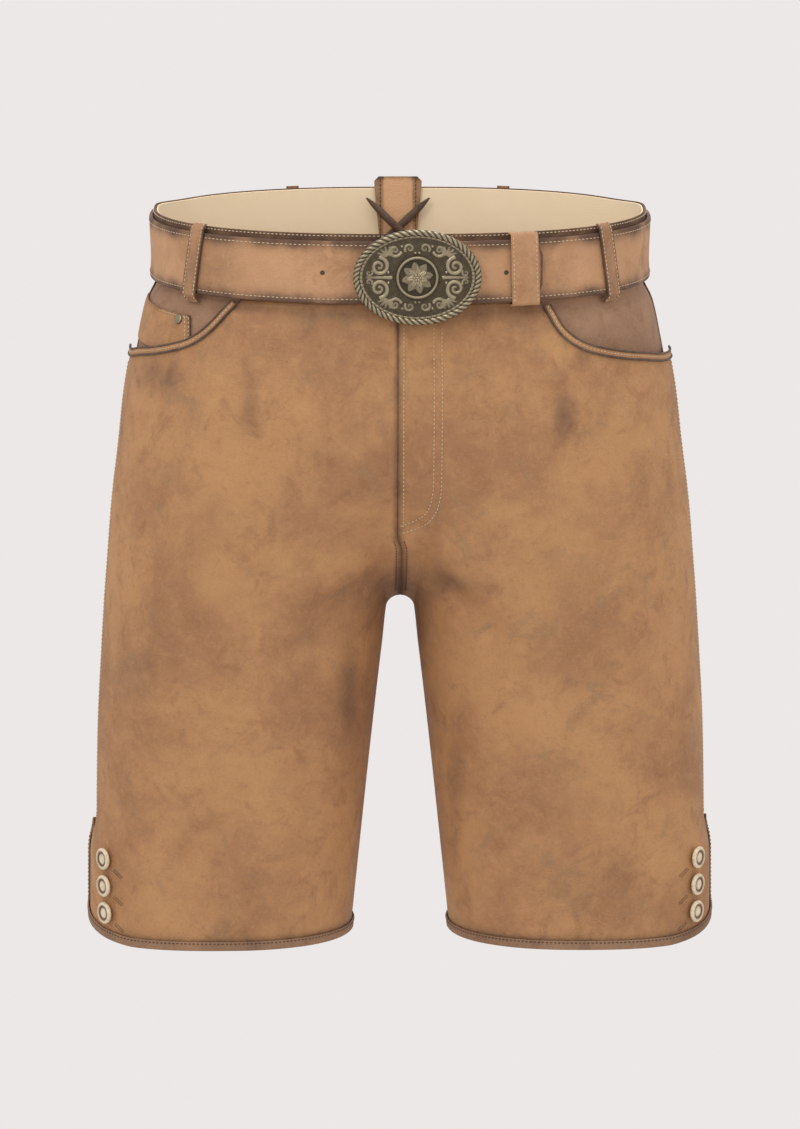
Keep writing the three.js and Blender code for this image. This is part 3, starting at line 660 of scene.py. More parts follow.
def along_line(points, spacing):
    """Evenly spaced places on a polyline, with the heading at each."""
    points = np.asarray(points, float)
    step = np.linalg.norm(np.diff(points, axis=0), axis=1)
    reach = np.concatenate([[0], np.cumsum(step)])
    count = max(2, int(round(reach[-1] / spacing)))
    at = (np.arange(count) + 0.5) * reach[-1] / count
    places = np.stack([np.interp(at, reach, points[:, k]) for k in range(3)], -1)
    ahead = np.stack([np.interp(at + 0.3, reach, points[:, k]) for k in range(3)], -1)
    back = np.stack([np.interp(at - 0.3, reach, points[:, k]) for k in range(3)], -1)
    heading = ahead - back
    return places, heading / np.linalg.norm(heading, axis=1, keepdims=True)


def stitches(name, lines, thread, length=2.1, width=0.75, spacing=3.0):
    """Rows of stitches; each line is a pair of arrays: points in millimetres and outward directions."""
    all_places, all_headings, all_outs = [], [], []
    for points, outs in lines:
        places, heading = along_line(points, spacing)
        nearest = np.argmin(((places[:, None] - points[None]) ** 2).sum(-1), axis=1)
        all_places.append(places)
        all_headings.append(heading)
        all_outs.append(outs[nearest])
    places = np.concatenate(all_places)
    mesh = bpy.data.meshes.new(name)
    mesh.from_pydata((places * MM).tolist(), [], [])
    for key, values in (("heading", all_headings), ("out", all_outs)):
        layer = mesh.attributes.new(key, "FLOAT_VECTOR", "POINT")
        layer.data.foreach_set("vector", np.concatenate(values).ravel())
    carrier = bpy.data.objects.new(name + "_points", mesh)
    bpy.context.scene.collection.objects.link(carrier)
    modifier = carrier.modifiers.new("stitches", "NODES")
    modifier.node_group = STITCH_TREE
    sockets = {item.name: item.identifier for item in STITCH_TREE.interface.items_tree
               if item.in_out == "INPUT"}
    modifier[sockets["Length"]] = length * MM
    modifier[sockets["Width"]] = width * MM
    modifier[sockets["Thread"]] = thread
    piece = baked(carrier, name)
    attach(piece, "root")
    return piece


def on_panel(face, side, sign, angle, level, above=0.25):
    """Points on a panel's outer face, on its own side of the garment, with directions."""
    q, n = skin(face, side, sign, angle, level, above)
    return q * (sign, 1, 1), n * (sign, 1, 1)


# ------------------------------------------------------------------ body panels
# Marks of wear and of painted light and shade: x, z, half width, half height, strength. The darker marks are stains,
# with painted shade between the legs, down the inner thighs and just under the belt; the lighter marks are worn spots,
# with broad patches of painted light on the forward-facing thigh fronts.
STAINS_AND_SHADE = (
    (-105, -135, 9, 22, 0.5), (112, -140, 12, 24, 0.55), (32, -262, 14, 12, 0.4), (-38, -345, 9, 40, 0.6),
    (-180, -322, 10, 16, 0.3), (58, -264, 12, 10, 0.3), (-168, -118, 24, 16, 0.55), (126, -100, 8, 10, 0.5),
    (40, -420, 7, 50, 0.4), (-120, -60, 30, 10, 0.3), (90, -70, 34, 10, 0.35), (-20, -150, 30, 30, 0.2),
    (0, -270, 40, 16, 0.45), (150, -480, 40, 30, 0.2), (-140, -490, 50, 24, 0.22),
)
LIGHT_SPOTS_AND_PAINTED_LIGHT = (
    (-134, -262, 12, 16, 0.6), (172, -158, 18, 16, 0.45), (96, -346, 20, 24, 0.4), (-110, -284, 26, 24, 0.35),
    (-80, -470, 16, 12, 0.35), (-130, -200, 40, 60, 0.4), (120, -230, 46, 70, 0.4), (-120, -400, 40, 60, 0.35),
    (130, -420, 40, 50, 0.3),
)


def marks(p, sign, spots):
    x, z = p[..., 0] * sign, p[..., 2]
    total = np.zeros_like(x)
    for sx, sz, wide, high, strength in spots:
        total += strength * np.exp(-(((x - sx) / wide) ** 2 + ((z - sz) / high) ** 2))
    return np.clip(total, 0, 1)


def panel_levels():
    near = CROTCH + np.sign(np.linspace(-1, 1, 47)) * 40 * np.linspace(-1, 1, 47) ** 2
    above = np.arange(CROTCH + 43, PANEL_TOP, 3.0)
    mouth = np.concatenate([np.arange(-102, -84, 1.0), MOUTH_END + MOUTH_RUN * np.linspace(0, 1, 24) ** 0.7])
    below = np.arange(HEM, CROTCH - 41, 3.0)
    vent = np.concatenate([np.linspace(HEM, HEM + FLAP_CORNER, 20), VENT_TOP - 16 * np.linspace(0, 1, 14) ** 2])
    levels = np.unique(np.round(np.concatenate([near, above, mouth, below, vent, [PANEL_TOP, HEM]]), 3))
    return levels[::-1]


def panel(name, face, side, sign):
    """One body panel as a wall, its folds in its mesh and its wear, painted light and painted shade in its attributes.
    """
    levels = panel_levels()[:, None]
    u = np.linspace(0, 1, 113)[None, :]
    t = 0.35 * u**2 + 0.65 * u
    if face == "front":
        inner = inner_angle(levels, 1)
        outer = front_outer_angle(levels, side)
    else:
        notch = angle_at_x(levels, notch_half_width(levels), -1)
        inner = np.where(levels > NOTCH_BOTTOM, notch, inner_angle(levels, -1))
        edge_y = back_edge_y(levels, side)
        outer = angle_at_y(levels, edge_y)
    angle = between(inner, outer, t)
    level = np.broadcast_to(levels, angle.shape)
    p = surface(angle, level)
    n = normals(p)
    lift = (front_lift(p, level) if face == "front" else 0) + fold_depth(p, face, sign) * panel_ease(
        p, level, face, side)
    layers = []
    step = 1 if face == "front" else -1
    for depth in (0, LEATHER):
        q = p + n * (lift - depth)[..., None]
        q[:, 0, 1] -= step * SEAM
        q[:, -1, 1] -= step * SEAM
        if face == "front":
            q = np.where((level > CROTCH)[..., None], fly_shift(q, level, sign), q)
            q[..., 0] = np.where(level > CROTCH, q[..., 0], np.maximum(SEAM, q[..., 0]))
        else:
            q[..., 0] = np.maximum(SEAM, q[..., 0])
        layers.append(q)
    points, faces = wall(*layers)
    chord = np.linalg.norm(np.diff(p, axis=1), axis=2)
    reach = np.concatenate([np.zeros((len(levels), 1)), np.cumsum(chord, 1)], 1)
    to_edge = np.minimum(reach, reach[:, -1:] - reach)
    # Darker along both cut edges: a rubbed edge, which along the side seams is also painted shade where the leg turns
    # away.
    rubbed = np.exp(-to_edge / 1.6) * 0.5
    # Painted shade in a band just under the belt.
    shade_below_belt = 0.4 * np.exp(-np.abs(level - PANEL_TOP + 6) / 9)
    above_hem = 0.5 * np.exp(-np.maximum(0, level - HEM - 6) / 5)
    # Painted shade between the legs at the crotch.
    shade_between_legs = 0.25 * np.exp(-((p[..., 0] / 34) ** 2) - ((level - CROTCH) / 40) ** 2)
    burnish_and_shade = np.clip(rubbed + shade_below_belt + above_hem + shade_between_legs, 0, 1)
    double = np.concatenate
    attributes = {
        "burnish_and_shade": double([burnish_and_shade.ravel(), burnish_and_shade.ravel()]),
        "stain_and_shade": double([marks(p, sign, STAINS_AND_SHADE).ravel()] * 2),
        "light": double([marks(p, sign, LIGHT_SPOTS_AND_PAINTED_LIGHT).ravel()] * 2),
    }
    piece = make(name, points, faces, BODY, sign, attributes)
    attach(piece, "root")
    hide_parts(name)
    return piece


FRONT_CUT = (0.345, 0.505)
BACK_CUT = (0.375, 0.520)
panels = {}
for side, sign in SIDES:
    panels["front_" + side] = panel("front_" + side, "front", side, sign)
    panels["back_" + side] = panel("back_" + side, "back", side, sign)

def skin(face, side, sign, angle, level, above=0.0):
    """Points and directions on a body panel's outer face, before any mirroring."""
    angle, level = np.broadcast_arrays(np.asarray(angle, float), np.asarray(level, float))
    p = surface(angle, level)
    n = normals(p)
    lift = front_lift(p, level) if face == "front" else 0
    lift = lift + fold_depth(p, face, sign) * panel_ease(p, level, face, side) + above
    q = p + n * np.asarray(lift)[..., None]
    if face == "front":
        q = np.where((level > CROTCH)[..., None], fly_shift(q, level, sign), q)
    return q, n


def front_level(x, z):
    """The level at which the front of the form passes through x and z."""
    x, level = np.asarray(x, float), np.asarray(z, float)
    for _ in range(10):
        y = surface(angle_at_x(level, np.abs(x), 1), level)[..., 1]
        level = z - tilt(level) * y
    return level


def finish_piece(piece, nodes, bevel=0.35):
    """Rounds a piece's cut edges, parents it to the root and hides the parts it stands for."""
    piece.data.set_sharp_from_angle(angle=math.radians(38))
    if bevel:
        modifier = piece.modifiers.new("cut_edges", "BEVEL")
        modifier.width = bevel * MM
        modifier.segments = 2
        modifier.limit_method = "ANGLE"
        modifier.angle_limit = math.radians(50)
    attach(piece, "root")
    if nodes:
        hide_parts(*nodes)
    return piece


def slab(name, outer, inner, material, slot, sign=1, nodes=None, bevel=0.35, attributes=None):
    points, faces = wall(outer, inner)
    piece = make(name, points, faces, material, sign, attributes)
    return finish_piece(piece, [name] if nodes is None else nodes, bevel)


def swept(name, path, profile, material, sign=1, nodes=None, closed=False, outs=None, bevel=0):
    points, faces = sweep(path, normals(path) if outs is None else outs, profile, closed)
    piece = make(name, points, faces, material, sign)
    return finish_piece(piece, [name] if nodes is None else nodes, bevel)


def circle(radius, centre=(0, 0), sides=12):
    turn = np.linspace(0, 2 * math.pi, sides, endpoint=False)
    return [(centre[0] + radius * math.cos(a), centre[1] + radius * math.sin(a)) for a in turn]


def turned(name, centre, axis, profile, material, slot, sign=1, segments=36, rings=None, nodes=None):
    """A lathe piece; profile is (radius, height) from the underside's middle round to the top's."""
    axis = np.asarray(axis, float)
    across = np.cross(axis, (0, 0, 1.0))
    across /= np.linalg.norm(across)
    up = np.cross(across, axis)
    turn = np.linspace(0, 2 * math.pi, segments, endpoint=False)
    body = [(r, h) for r, h in profile if r > 0]
    points = [np.asarray(centre) + axis * profile[0][1]]
    for r, h in body:
        points += [centre + axis * h + r * (math.cos(a) * across + math.sin(a) * up) for a in turn]
    points.append(np.asarray(centre) + axis * profile[-1][1])
    faces = grid_faces(len(body), segments, start=1, closed=True)
    last = 1 + (len(body) - 1) * segments
    for k in range(segments):
        faces.append((0, 1 + k, 1 + (k + 1) % segments))
        faces.append((len(points) - 1, last + (k + 1) % segments, last + k))
    points = np.array(points)
    attributes = None
    if rings:
        shades = [rings[0]] + [v for v in rings[1:-1] for _ in turn] + [rings[-1]]
        attributes = {"ring": shades, "relief": shades}
    piece = make(name, points, outward(points, faces), material, sign, attributes)
    piece.data.set_sharp_from_angle(angle=math.radians(60))
    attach(piece, "root")
    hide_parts(*([name] if nodes is None else nodes))
    return piece


# ------------------------------------------------------------------ waist
def back_dip(y):
    """How much lower the waist's top edge lies at the back than at the front."""
    return BACK_DIP * ease(y / 70)


def band_grid(levels, lift, count=150):
    """One half of the waist, from the front to the notch; it dips at the back, less and less lower down."""
    u = np.linspace(0, 1, count)[None, :]
    top = np.asarray(levels, float)[:, None] + 0 * u
    rough = surface(between(inner_angle(0.0, 1), inner_angle(0.0, -1), u), 0.0)[..., 1]
    levels = top - back_dip(rough) * np.clip((top + 47) / 47, 0, 1)
    front = angle_at_x(levels, SEAM, 1)
    back = angle_at_x(levels, notch_half_width(levels), -1)
    angle = between(front, back, u)
    p = surface(angle, levels)
    return raised(p, np.full(p.shape[:2], float(lift)))


def waist_pieces(side, sign):
    levels = np.concatenate([np.linspace(BAND_TOP, BAND_TOP - 8, 9), np.linspace(-10, WAIST_TOP - BAND_HEIGHT, 8)])
    outer, inner = band_grid(levels, BAND_WALL), band_grid(levels, 0)
    dark = np.broadcast_to(np.where(levels > -7, 0.75, 0.1)[:, None], outer.shape[:2]).ravel()
    slab("waistband_" + side, outer, inner, BODY, "body_leather", sign,
         attributes={"burnish_and_shade": np.concatenate([dark, dark])})
    path = band_grid([BAND_TOP - 1.6], BAND_WALL + 0.25)[0]
    stitches("waistband_stitches_" + side, [(path * (sign, 1, 1), normals(path) * (sign, 1, 1))], LIGHT_THREAD)
    levels = np.linspace(BAND_TOP - 0.8, -47, 12)
    slab("waist_lining_" + side, band_grid(levels, -GAP), band_grid(levels, -GAP - 1.1), LINING, "lining", sign)


def across(x, level, lift, face=1):
    x = np.asarray(x, float)
    p = raised(surface(angle_at_x(level, np.abs(x), face), level), np.zeros(np.shape(x)) + lift)
    p[..., 0] *= np.where(x < 0, -1, 1)
    return p


def back_gusset():
    levels = np.linspace(4, -76, 24)[:, None]
    half = between(18.5, 11, np.clip((4 - levels) / 80, 0, 1))
    half = half - 4 * (1 - np.sqrt(1 - np.clip((levels + 1) / 5.001, 0, 1) ** 2))
    x = half * np.linspace(-1, 1, 25)[None, :]
    level = np.broadcast_to(levels, x.shape)
    crown = 0.5 * np.exp(-((np.abs(x) - 10) / 1.2) ** 2)
    # The gusset is darker past its crown ridges, a painted shade where it runs under the back panels' edges, and
    # darker along its top cut edge.
    sides = np.clip((np.abs(x) - 10) / 1.5, 0, 1) * 0.5 + 0.6 * np.exp(-(4 - level) / 1.5)
    slab("back_gusset", across(x, level, -2.3 - crown, -1), across(x, level, -3.6 - crown, -1), GUSSET,
         "gusset_leather", attributes={"burnish_and_shade": np.concatenate([sides.ravel()] * 2)})


def tapered(name, path, radius):
    """A round thong whose radius changes along its path."""
    along = np.gradient(path, axis=0)
    along /= np.linalg.norm(along, axis=1, keepdims=True)
    outs = normals(path)
    sideways = np.cross(outs, along)
    turn = np.linspace(0, 2 * math.pi, 14, endpoint=False)
    rings = path[:, None] + radius[:, None, None] * (
        sideways[:, None] * np.cos(turn)[None, :, None] + outs[:, None] * np.sin(turn)[None, :, None] * 0.75)
    ringed(name, rings, LACE, [name])


def lace_pieces():
    t = np.linspace(0, 1, 60)
    for name, direction, hump in (("lace_under", 1, 0), ("lace_over", -1, 5.0)):
        path = across(direction * between(24, -21, t), between(-12, -54, t),
                      -6.5 - hump * np.sin(math.pi * t) ** 2, -1)
        thick = 2.9 * np.sqrt(np.clip(np.minimum(t, 1 - t) / 0.25, 0.05, 1))
        tapered(name, path, thick)
    t = np.linspace(-1, 1, 30)
    swept("lace_bar", across(20 * t, np.full(30, -54.0), np.full(30, 2.2), -1), circle(1.8), LACE)


# ------------------------------------------------------------------ pockets and fly
def facing_angle(side, level, reach=12):
    mouth = follow(POCKET_MOUTH, side, np.minimum(0, level + reach))
    return angle_at_x(level, mouth - reach, 1), angle_at_y(level, follow(SIDE_SEAM, side, level))


def mouth_path(side, sign, above=0.0):
    """Points and directions along the pocket mouth, evenly spaced, from the belt to the side seam."""
    levels = np.concatenate([np.linspace(-52, MOUTH_END + MOUTH_RUN, 60),
                             MOUTH_END + MOUTH_RUN * (1 - np.linspace(0, 1, 60)[1:]) ** 0.8 + 0.01])
    row, _ = skin("front", side, sign, front_outer_angle(levels, side), levels, above)
    reach = np.concatenate([[0], np.cumsum(np.linalg.norm(np.diff(row, axis=0), axis=1))])
    at = np.linspace(0, reach[-1], 120)
    path = np.stack([np.interp(at, reach, row[:, k]) for k in range(3)], -1)
    return path, normals(path)


def pocket_pieces(side, sign):
    levels = np.linspace(PANEL_TOP, -115, 36)[:, None]
    start, end = facing_angle(side, levels)
    angle = between(start, end, np.linspace(0, 1, 48)[None, :])
    level = np.broadcast_to(levels, angle.shape)
    layers = []
    for depth in (0, 1.3):
        q = raised(surface(angle, level), facing_lift(level) - depth)
        q[:, -1, 1] -= 2 * GAP
        layers.append(q)
    slab("pocket_facing_" + side, *layers, FACING, "facing_leather", sign)
    path, _ = mouth_path(side, sign)
    swept("pocket_trim_" + side, path, rounded(5.0, 0.8, 0.3, 0.3, 2) + np.array((2.2, 0)), BODY,
          sign)
    for i, place in enumerate((-0.1, 4.9)):
        swept(f"pocket_piping_{side}_{i + 1}", path, circle(0.85, (place, 0.95), 10), LACE, sign,
              nodes=[])


def coin_pocket():
    levels = np.linspace(-63, -92, 16)[:, None]
    start = angle_at_x(levels, 149, 1)
    end = angle_at_y(levels, follow(SIDE_SEAM, "right", levels) - 2)
    angle = between(start, end, np.linspace(0, 1, 24)[None, :])
    level = np.broadcast_to(levels, angle.shape)
    base = surface(angle, level)
    strip = np.where(np.arange(24) < 3, 0.0, 0.12)[None, :] + 0.7 * np.exp(-np.arange(24) / 0.8)[None, :]
    strip = np.clip(strip + 0.35 * np.exp(-(-63 - level) / 2.0), 0, 1)
    slab("coin_pocket", raised(base, facing_lift(level) + 1.9), raised(base, facing_lift(level) + 0.9), BODY,
         "facing_leather", -1, attributes={"burnish_and_shade": np.concatenate([strip.ravel()] * 2)})
    lines = []
    for across_mm in (1.0, 3.6):
        row = np.linspace(-64, -91, 40)
        p = raised(surface(angle_at_x(row, 149 + across_mm, 1), row), facing_lift(row) + 2.05)
        lines.append((p * (-1, 1, 1), normals(p) * (-1, 1, 1)))
    top = np.linspace(150, 172, 40)
    p = raised(surface(angle_at_x(-64.6, top, 1), -64.6), facing_lift(-64.6) + 2.05 + 0 * top)
    lines.append((p * (-1, 1, 1), normals(p) * (-1, 1, 1)))
    stitches("coin_pocket_stitches", lines, LIGHT_THREAD)
    place = surface(angle_at_x(-67.0, 157.0, 1), -67.0)
    turned("coin_pocket_rivet", raised(place, facing_lift(-67.0) + 2.3), normals(place),
           [(0, 0), (3.4, 0), (3.5, 0.3), (3.1, 0.9), (2.2, 1.35), (1.1, 1.6), (0, 1.65)], METAL, "metal", -1,
           rings=[0.3, 0.3, 0.5, 0.8, 0.6, 0.7, 0.7])


def fly_underlap():
    levels = np.linspace(-52, -227, 60)[:, None]
    curve_top = FLY_BOTTOM + FLY_WIDTH
    inside = np.sqrt(np.maximum(9, FLY_WIDTH**2 - np.maximum(0, curve_top - levels) ** 2))
    x = between(-9, inside, np.linspace(0, 1, 16)[None, :])
    level = np.broadcast_to(levels, x.shape)
    slab("fly_underlap", across(x, level, -2.4), across(x, level, -3.6), BODY, "body_leather")


# ------------------------------------------------------------------ belt
def round_waist(turn, level, lift):
    """Place round the waist: 0 front centre, 1 the wearer's left side, 2 back, 3 right side."""
    turn, level, lift = np.broadcast_arrays(np.asarray(turn, float), level, lift)
    lap = np.mod(turn, 4)
    quarter = np.where(lap > 2, 4 - lap, lap)
    face = np.where(quarter < 1, 1, -1)
    part = np.where(quarter < 1, 1 - quarter, quarter - 1)
    p = raised(surface(np.where(face > 0, inner_angle(level, 1), inner_angle(level, -1)) * part, level), lift)
    return p * np.stack([np.where(lap > 2, -1, 1), np.ones_like(lap), np.ones_like(lap)], -1)


def turn_at_x(x, level=-26.0):
    return 1 - angle_at_x(level, x, 1) / inner_angle(level, 1)


def ringed(name, rings, material, nodes, attributes=None):
    """A solid from a row of rings of points, its ends capped."""
    rows, columns, _ = rings.shape
    faces = grid_faces(rows, columns, closed=True)
    last = (rows - 1) * columns
    faces += [tuple(range(columns)), tuple(last + k for k in reversed(range(columns)))]
    points = rings.reshape(-1, 3)
    piece = make(name, points, outward(points, faces), material, 1, attributes)
    return finish_piece(piece, nodes, 0)


def belt():
    start, end = turn_at_x(16), 4 + turn_at_x(95)
    turn = np.linspace(start, end, 420)[:, None]
    height, middle = BELT_TOP - BELT_BOTTOM, (BELT_TOP + BELT_BOTTOM) / 2
    profile = np.array(rounded(height, BELT_WALL, 1.1, 0, 4))
    flat = np.linspace(-0.5, 0.5, 27)[1:-1] * (height - 2.4)
    profile = np.concatenate([profile[:10][::1], profile[10:]])
    top = np.array([(s, BELT_WALL) for s in flat[::-1]])
    profile = np.concatenate([profile[:5], top, profile[5:]])
    tip = np.clip(((end - turn) * 175 - 0.2) / 9, 0, 1)
    narrow = 1 - (1 - np.sqrt(1 - (1 - tip) ** 2)) * 0.5
    over = (BELT_WALL + GAP + 0.1) * ease((turn - 3.86) / 0.16)
    wave = 0.3 * np.sin(turn * 29.0) + 0.2 * np.sin(turn * 53.0 + 1)
    dip = 1.6 * ease((1 - np.abs(turn - 2)) / 0.6)
    rings = round_waist(turn, middle - dip + profile[None, :, 0] * narrow,
                        BELT_SEAT + over + profile[None, :, 1])
    to_edge = height / 2 - np.abs(profile[:, 0])
    burnish_and_shade = np.exp(-((to_edge / 7.5) ** 1.5))[None, :] * (0.8 + 0.45 * wave)
    burnish_and_shade = np.maximum(burnish_and_shade, np.clip(1 - (end - turn) * 175 / 1.5, 0, 1))
    light = 0.35 + 0.3 * np.sin(turn * 14) * np.ones(rings.shape[1])[None, :]
    ringed("belt", rings, BELT, ["belt"],
           {"burnish_and_shade": burnish_and_shade.ravel(), "light": np.clip(light, 0, 1).ravel(), "stain_and_shade": np.zeros(burnish_and_shade.size)})
    edge_turn = np.linspace(start + 0.03, end - 0.02, 900)
    lap = (BELT_WALL + GAP + 0.1) * ease((edge_turn - 3.86) / 0.16)
    lines = []
    for inset in (-1, 1):
        level = middle + inset * (height / 2 - 3.0) - 1.6 * ease((1 - np.abs(edge_turn - 2)) / 0.6)
        path = round_waist(edge_turn, level, BELT_SEAT + lap + BELT_WALL + 0.15)
        out = normals(np.abs(path) * (1, 0, 0) + path * (0, 1, 1)) * np.where(path[:, :1] < 0, -1, 1) ** np.array((1, 0, 0))
        lines.append((path, out))
    stitches("belt_stitches", lines, LIGHT_THREAD, length=2.4, width=0.65, spacing=3.3)
    for i, (x, lap) in enumerate(((-54.8, 0), (70.6, 1))):
        level = float(front_level(x, -40.5))
        place = across(x, level, BELT_SEAT + BELT_WALL + lap * 3.6)
        axis = normals(across(abs(x), level, 0.0)) * (math.copysign(1, x), 1, 1)
        # Each belt hole is a dark disc in the dark thread material, a painted shade standing for the punched hole.
        turned(f"belt_hole_{i + 1}", place, axis,
               [(0, -0.6), (1.7, -0.6), (1.7, 0.03), (1.3, 0.08), (1.0, 0.04), (0.9, 0.02), (0, 0.02)], DARK_THREAD,
               "belt_leather", nodes=[], segments=24)


def arc(cx, cy, radius, start, stop, steps=5):
    angles = np.radians(np.linspace(start, stop, steps))
    return [(cx + radius * math.cos(a), cy + radius * math.sin(a)) for a in angles]


def belt_keeper():
    outer = BELT_SEAT + 2 * BELT_WALL + 2.8 + 1.4
    inner, wall_size, corner = 3.6, 1.4, 2.6
    top, bottom = 1 - BELT_TOP, -50 - BELT_TOP
    profile = [(top, inner), *arc(top - corner, outer - corner, corner, 0, 90),
               *arc(bottom + corner, outer - corner, corner, 90, 180), (bottom, inner),
               (bottom + wall_size, inner), *arc(bottom + corner, outer - corner, corner - wall_size, 180, 90),
               *arc(top - corner, outer - corner, corner - wall_size, 90, 0), (top - wall_size, inner)]
    x = np.linspace(73, 91, 13)
    path = surface(angle_at_x(np.full(13, BELT_TOP), x, 1), BELT_TOP)
    outs = normals(path) * (1, 1, 0)
    outs /= np.linalg.norm(outs, axis=-1, keepdims=True)
    swept("belt_keeper", path, profile, BELT, outs=outs, bevel=0.4)
    lines = []
    for column in (1, -2):
        along = np.cross(outs[column], path[column + 1] - path[column - 1])
        along /= np.linalg.norm(along)
        level = np.linspace(top - 2.5, bottom + 2.5, 30)[:, None]
        line = path[column] - along * level * np.sign(along[2]) * -1 + outs[column] * (outer + 0.15)
        lines.append((line, np.broadcast_to(outs[column], line.shape)))
    stitches("belt_keeper_stitches", lines, LIGHT_THREAD)


LOOP_STATIONS = table(("level", "off"), [
    (2.2, 2.6), (0.8, 4.8), (-2.0, 6.2), (-26, 6.4), (-48.8, 6.1), (-51.6, 4.6), (-53, 1.8), (-54, 1.0)])


def belt_loop(name, top_x, bottom_x, face, sign):
    top = 2.2 if face > 0 else -3.0
    levels = np.concatenate([np.linspace(top, -6, 10), np.linspace(-9, -44, 8), np.linspace(-47, -54, 12)])[:, None]
    s = np.linspace(-0.5, 0.5, 9)[None, :] * 11
    middle = between(top_x, bottom_x, np.clip(-levels / 60, 0, 1))
    angle = angle_at_x(levels, middle + s * 0.8, face)
    level = np.broadcast_to(levels, angle.shape)
    off = follow(LOOP_STATIONS, "off", level)
    base = surface(angle, level)
    edge = np.broadcast_to((np.abs(s) / 5.5) ** 6 * 0.8, angle.shape)
    zeros = np.zeros(2 * angle.size)
    slab(name, raised(base, off + 1.4), raised(base, off), BELT, "belt_leather", sign,
         attributes={"burnish_and_shade": 0.35 + 0.6 * np.concatenate([edge.ravel()] * 2), "light": zeros, "stain_and_shade": zeros})
    lines = []
    for column in (1, -2):
        p = raised(base, off + 1.55)[:, column]
        lines.append((p * (sign, 1, 1), normals(p) * (sign, 1, 1)))
    stitches(name + "_stitches", lines, LIGHT_THREAD)


# ------------------------------------------------------------------ buckle
def rope_rim():
    """A wire of three strands twisted together, closed round the oval."""
    stations, sides, twists, strands = 348, 18, 29, 3
    turn = np.linspace(0, 2 * math.pi, stations, endpoint=False)[:, None]
    u = np.linspace(0, 2 * math.pi, sides, endpoint=False)[None, :]
    bulge = np.abs(np.cos((u * strands - turn * twists * 2) / 2))
    r = RIM_WIRE * (0.72 + 0.28 * bulge)
    out = np.stack([RIM_UP * np.cos(turn), 0 * turn, RIM_ACROSS * np.sin(turn)], -1)
    out /= np.linalg.norm(out, axis=-1, keepdims=True)
    centre = np.stack([BUCKLE_X + RIM_ACROSS * np.cos(turn), BUCKLE_BACK_Y - RIM_WIRE + 0 * turn,
                       BUCKLE_Z + RIM_UP * np.sin(turn)], -1)
    points = centre + out * (r * np.cos(u))[..., None] + np.array((0, 1, 0)) * (r * np.sin(u))[..., None]
    faces = [tuple(v % (stations * sides) for v in f) for f in grid_faces(stations + 1, sides, closed=True)]
    points = points.reshape(-1, 3)
    piece = make("buckle_rim", points, outward(points, faces), METAL, 1,
                 {"relief": np.clip(1.5 * bulge**2 - 0.1, 0, 1.3).ravel()})
    return finish_piece(piece, ["buckle_rim"], 0)


def relief_disc(name, across_r, up_r, back_y, height, nodes, rings=70, segments=240):
    """An oval plate whose front face is a relief: height(x, z, r) with r from 0 at the middle to 1."""
    r = np.concatenate([np.linspace(0.002, 1, rings)])[:, None]
    turn = np.linspace(0, 2 * math.pi, segments, endpoint=False)[None, :]
    x, z = across_r * r * np.cos(turn), up_r * r * np.sin(turn)
    high, bright = height(x, z, r + 0 * turn)
    front = np.stack([BUCKLE_X + x, back_y - high, BUCKLE_Z + z], -1)
    rim = np.stack([BUCKLE_X + x[-1], back_y + 0 * x[-1], BUCKLE_Z + z[-1]], -1)
    points = np.concatenate([front.reshape(-1, 3), rim])
    faces = grid_faces(rings + 1, segments, closed=True)
    faces.append(tuple(range(segments)))
    faces.append(tuple(rings * segments + k for k in reversed(range(segments))))
    relief = np.concatenate([np.clip(bright, 0, 1).ravel(), np.full(segments, 0.3)])
    piece = make(name, points, outward(points, faces), METAL, 1, {"relief": relief})
    return finish_piece(piece, nodes, 0)


def ridge(x, z, line, width, height):
    """Height over (x, z) of a rounded ridge that follows a polyline and thins towards its end."""
    line = np.asarray(line, float)
    total = np.zeros_like(x)
    taper = np.linspace(1, 0.55, len(line))
    for (px, pz), part in zip(line, taper):
        gap = (x - px) ** 2 + (z - pz) ** 2
        total = np.maximum(total, height * part * np.sqrt(np.clip(1 - gap / (width * part) ** 2, 0, 1)))
    return total


def volute(cx, cz, radius, start, turns, sign_x, sign_z, steps=70):
    t = np.linspace(0, 1, steps)
    angle = math.radians(start) + 2 * math.pi * turns * t
    r = radius * (1 - 0.86 * t)
    return np.stack([sign_x * (cx + r * np.cos(angle)), sign_z * (cz + r * np.sin(angle))], -1)


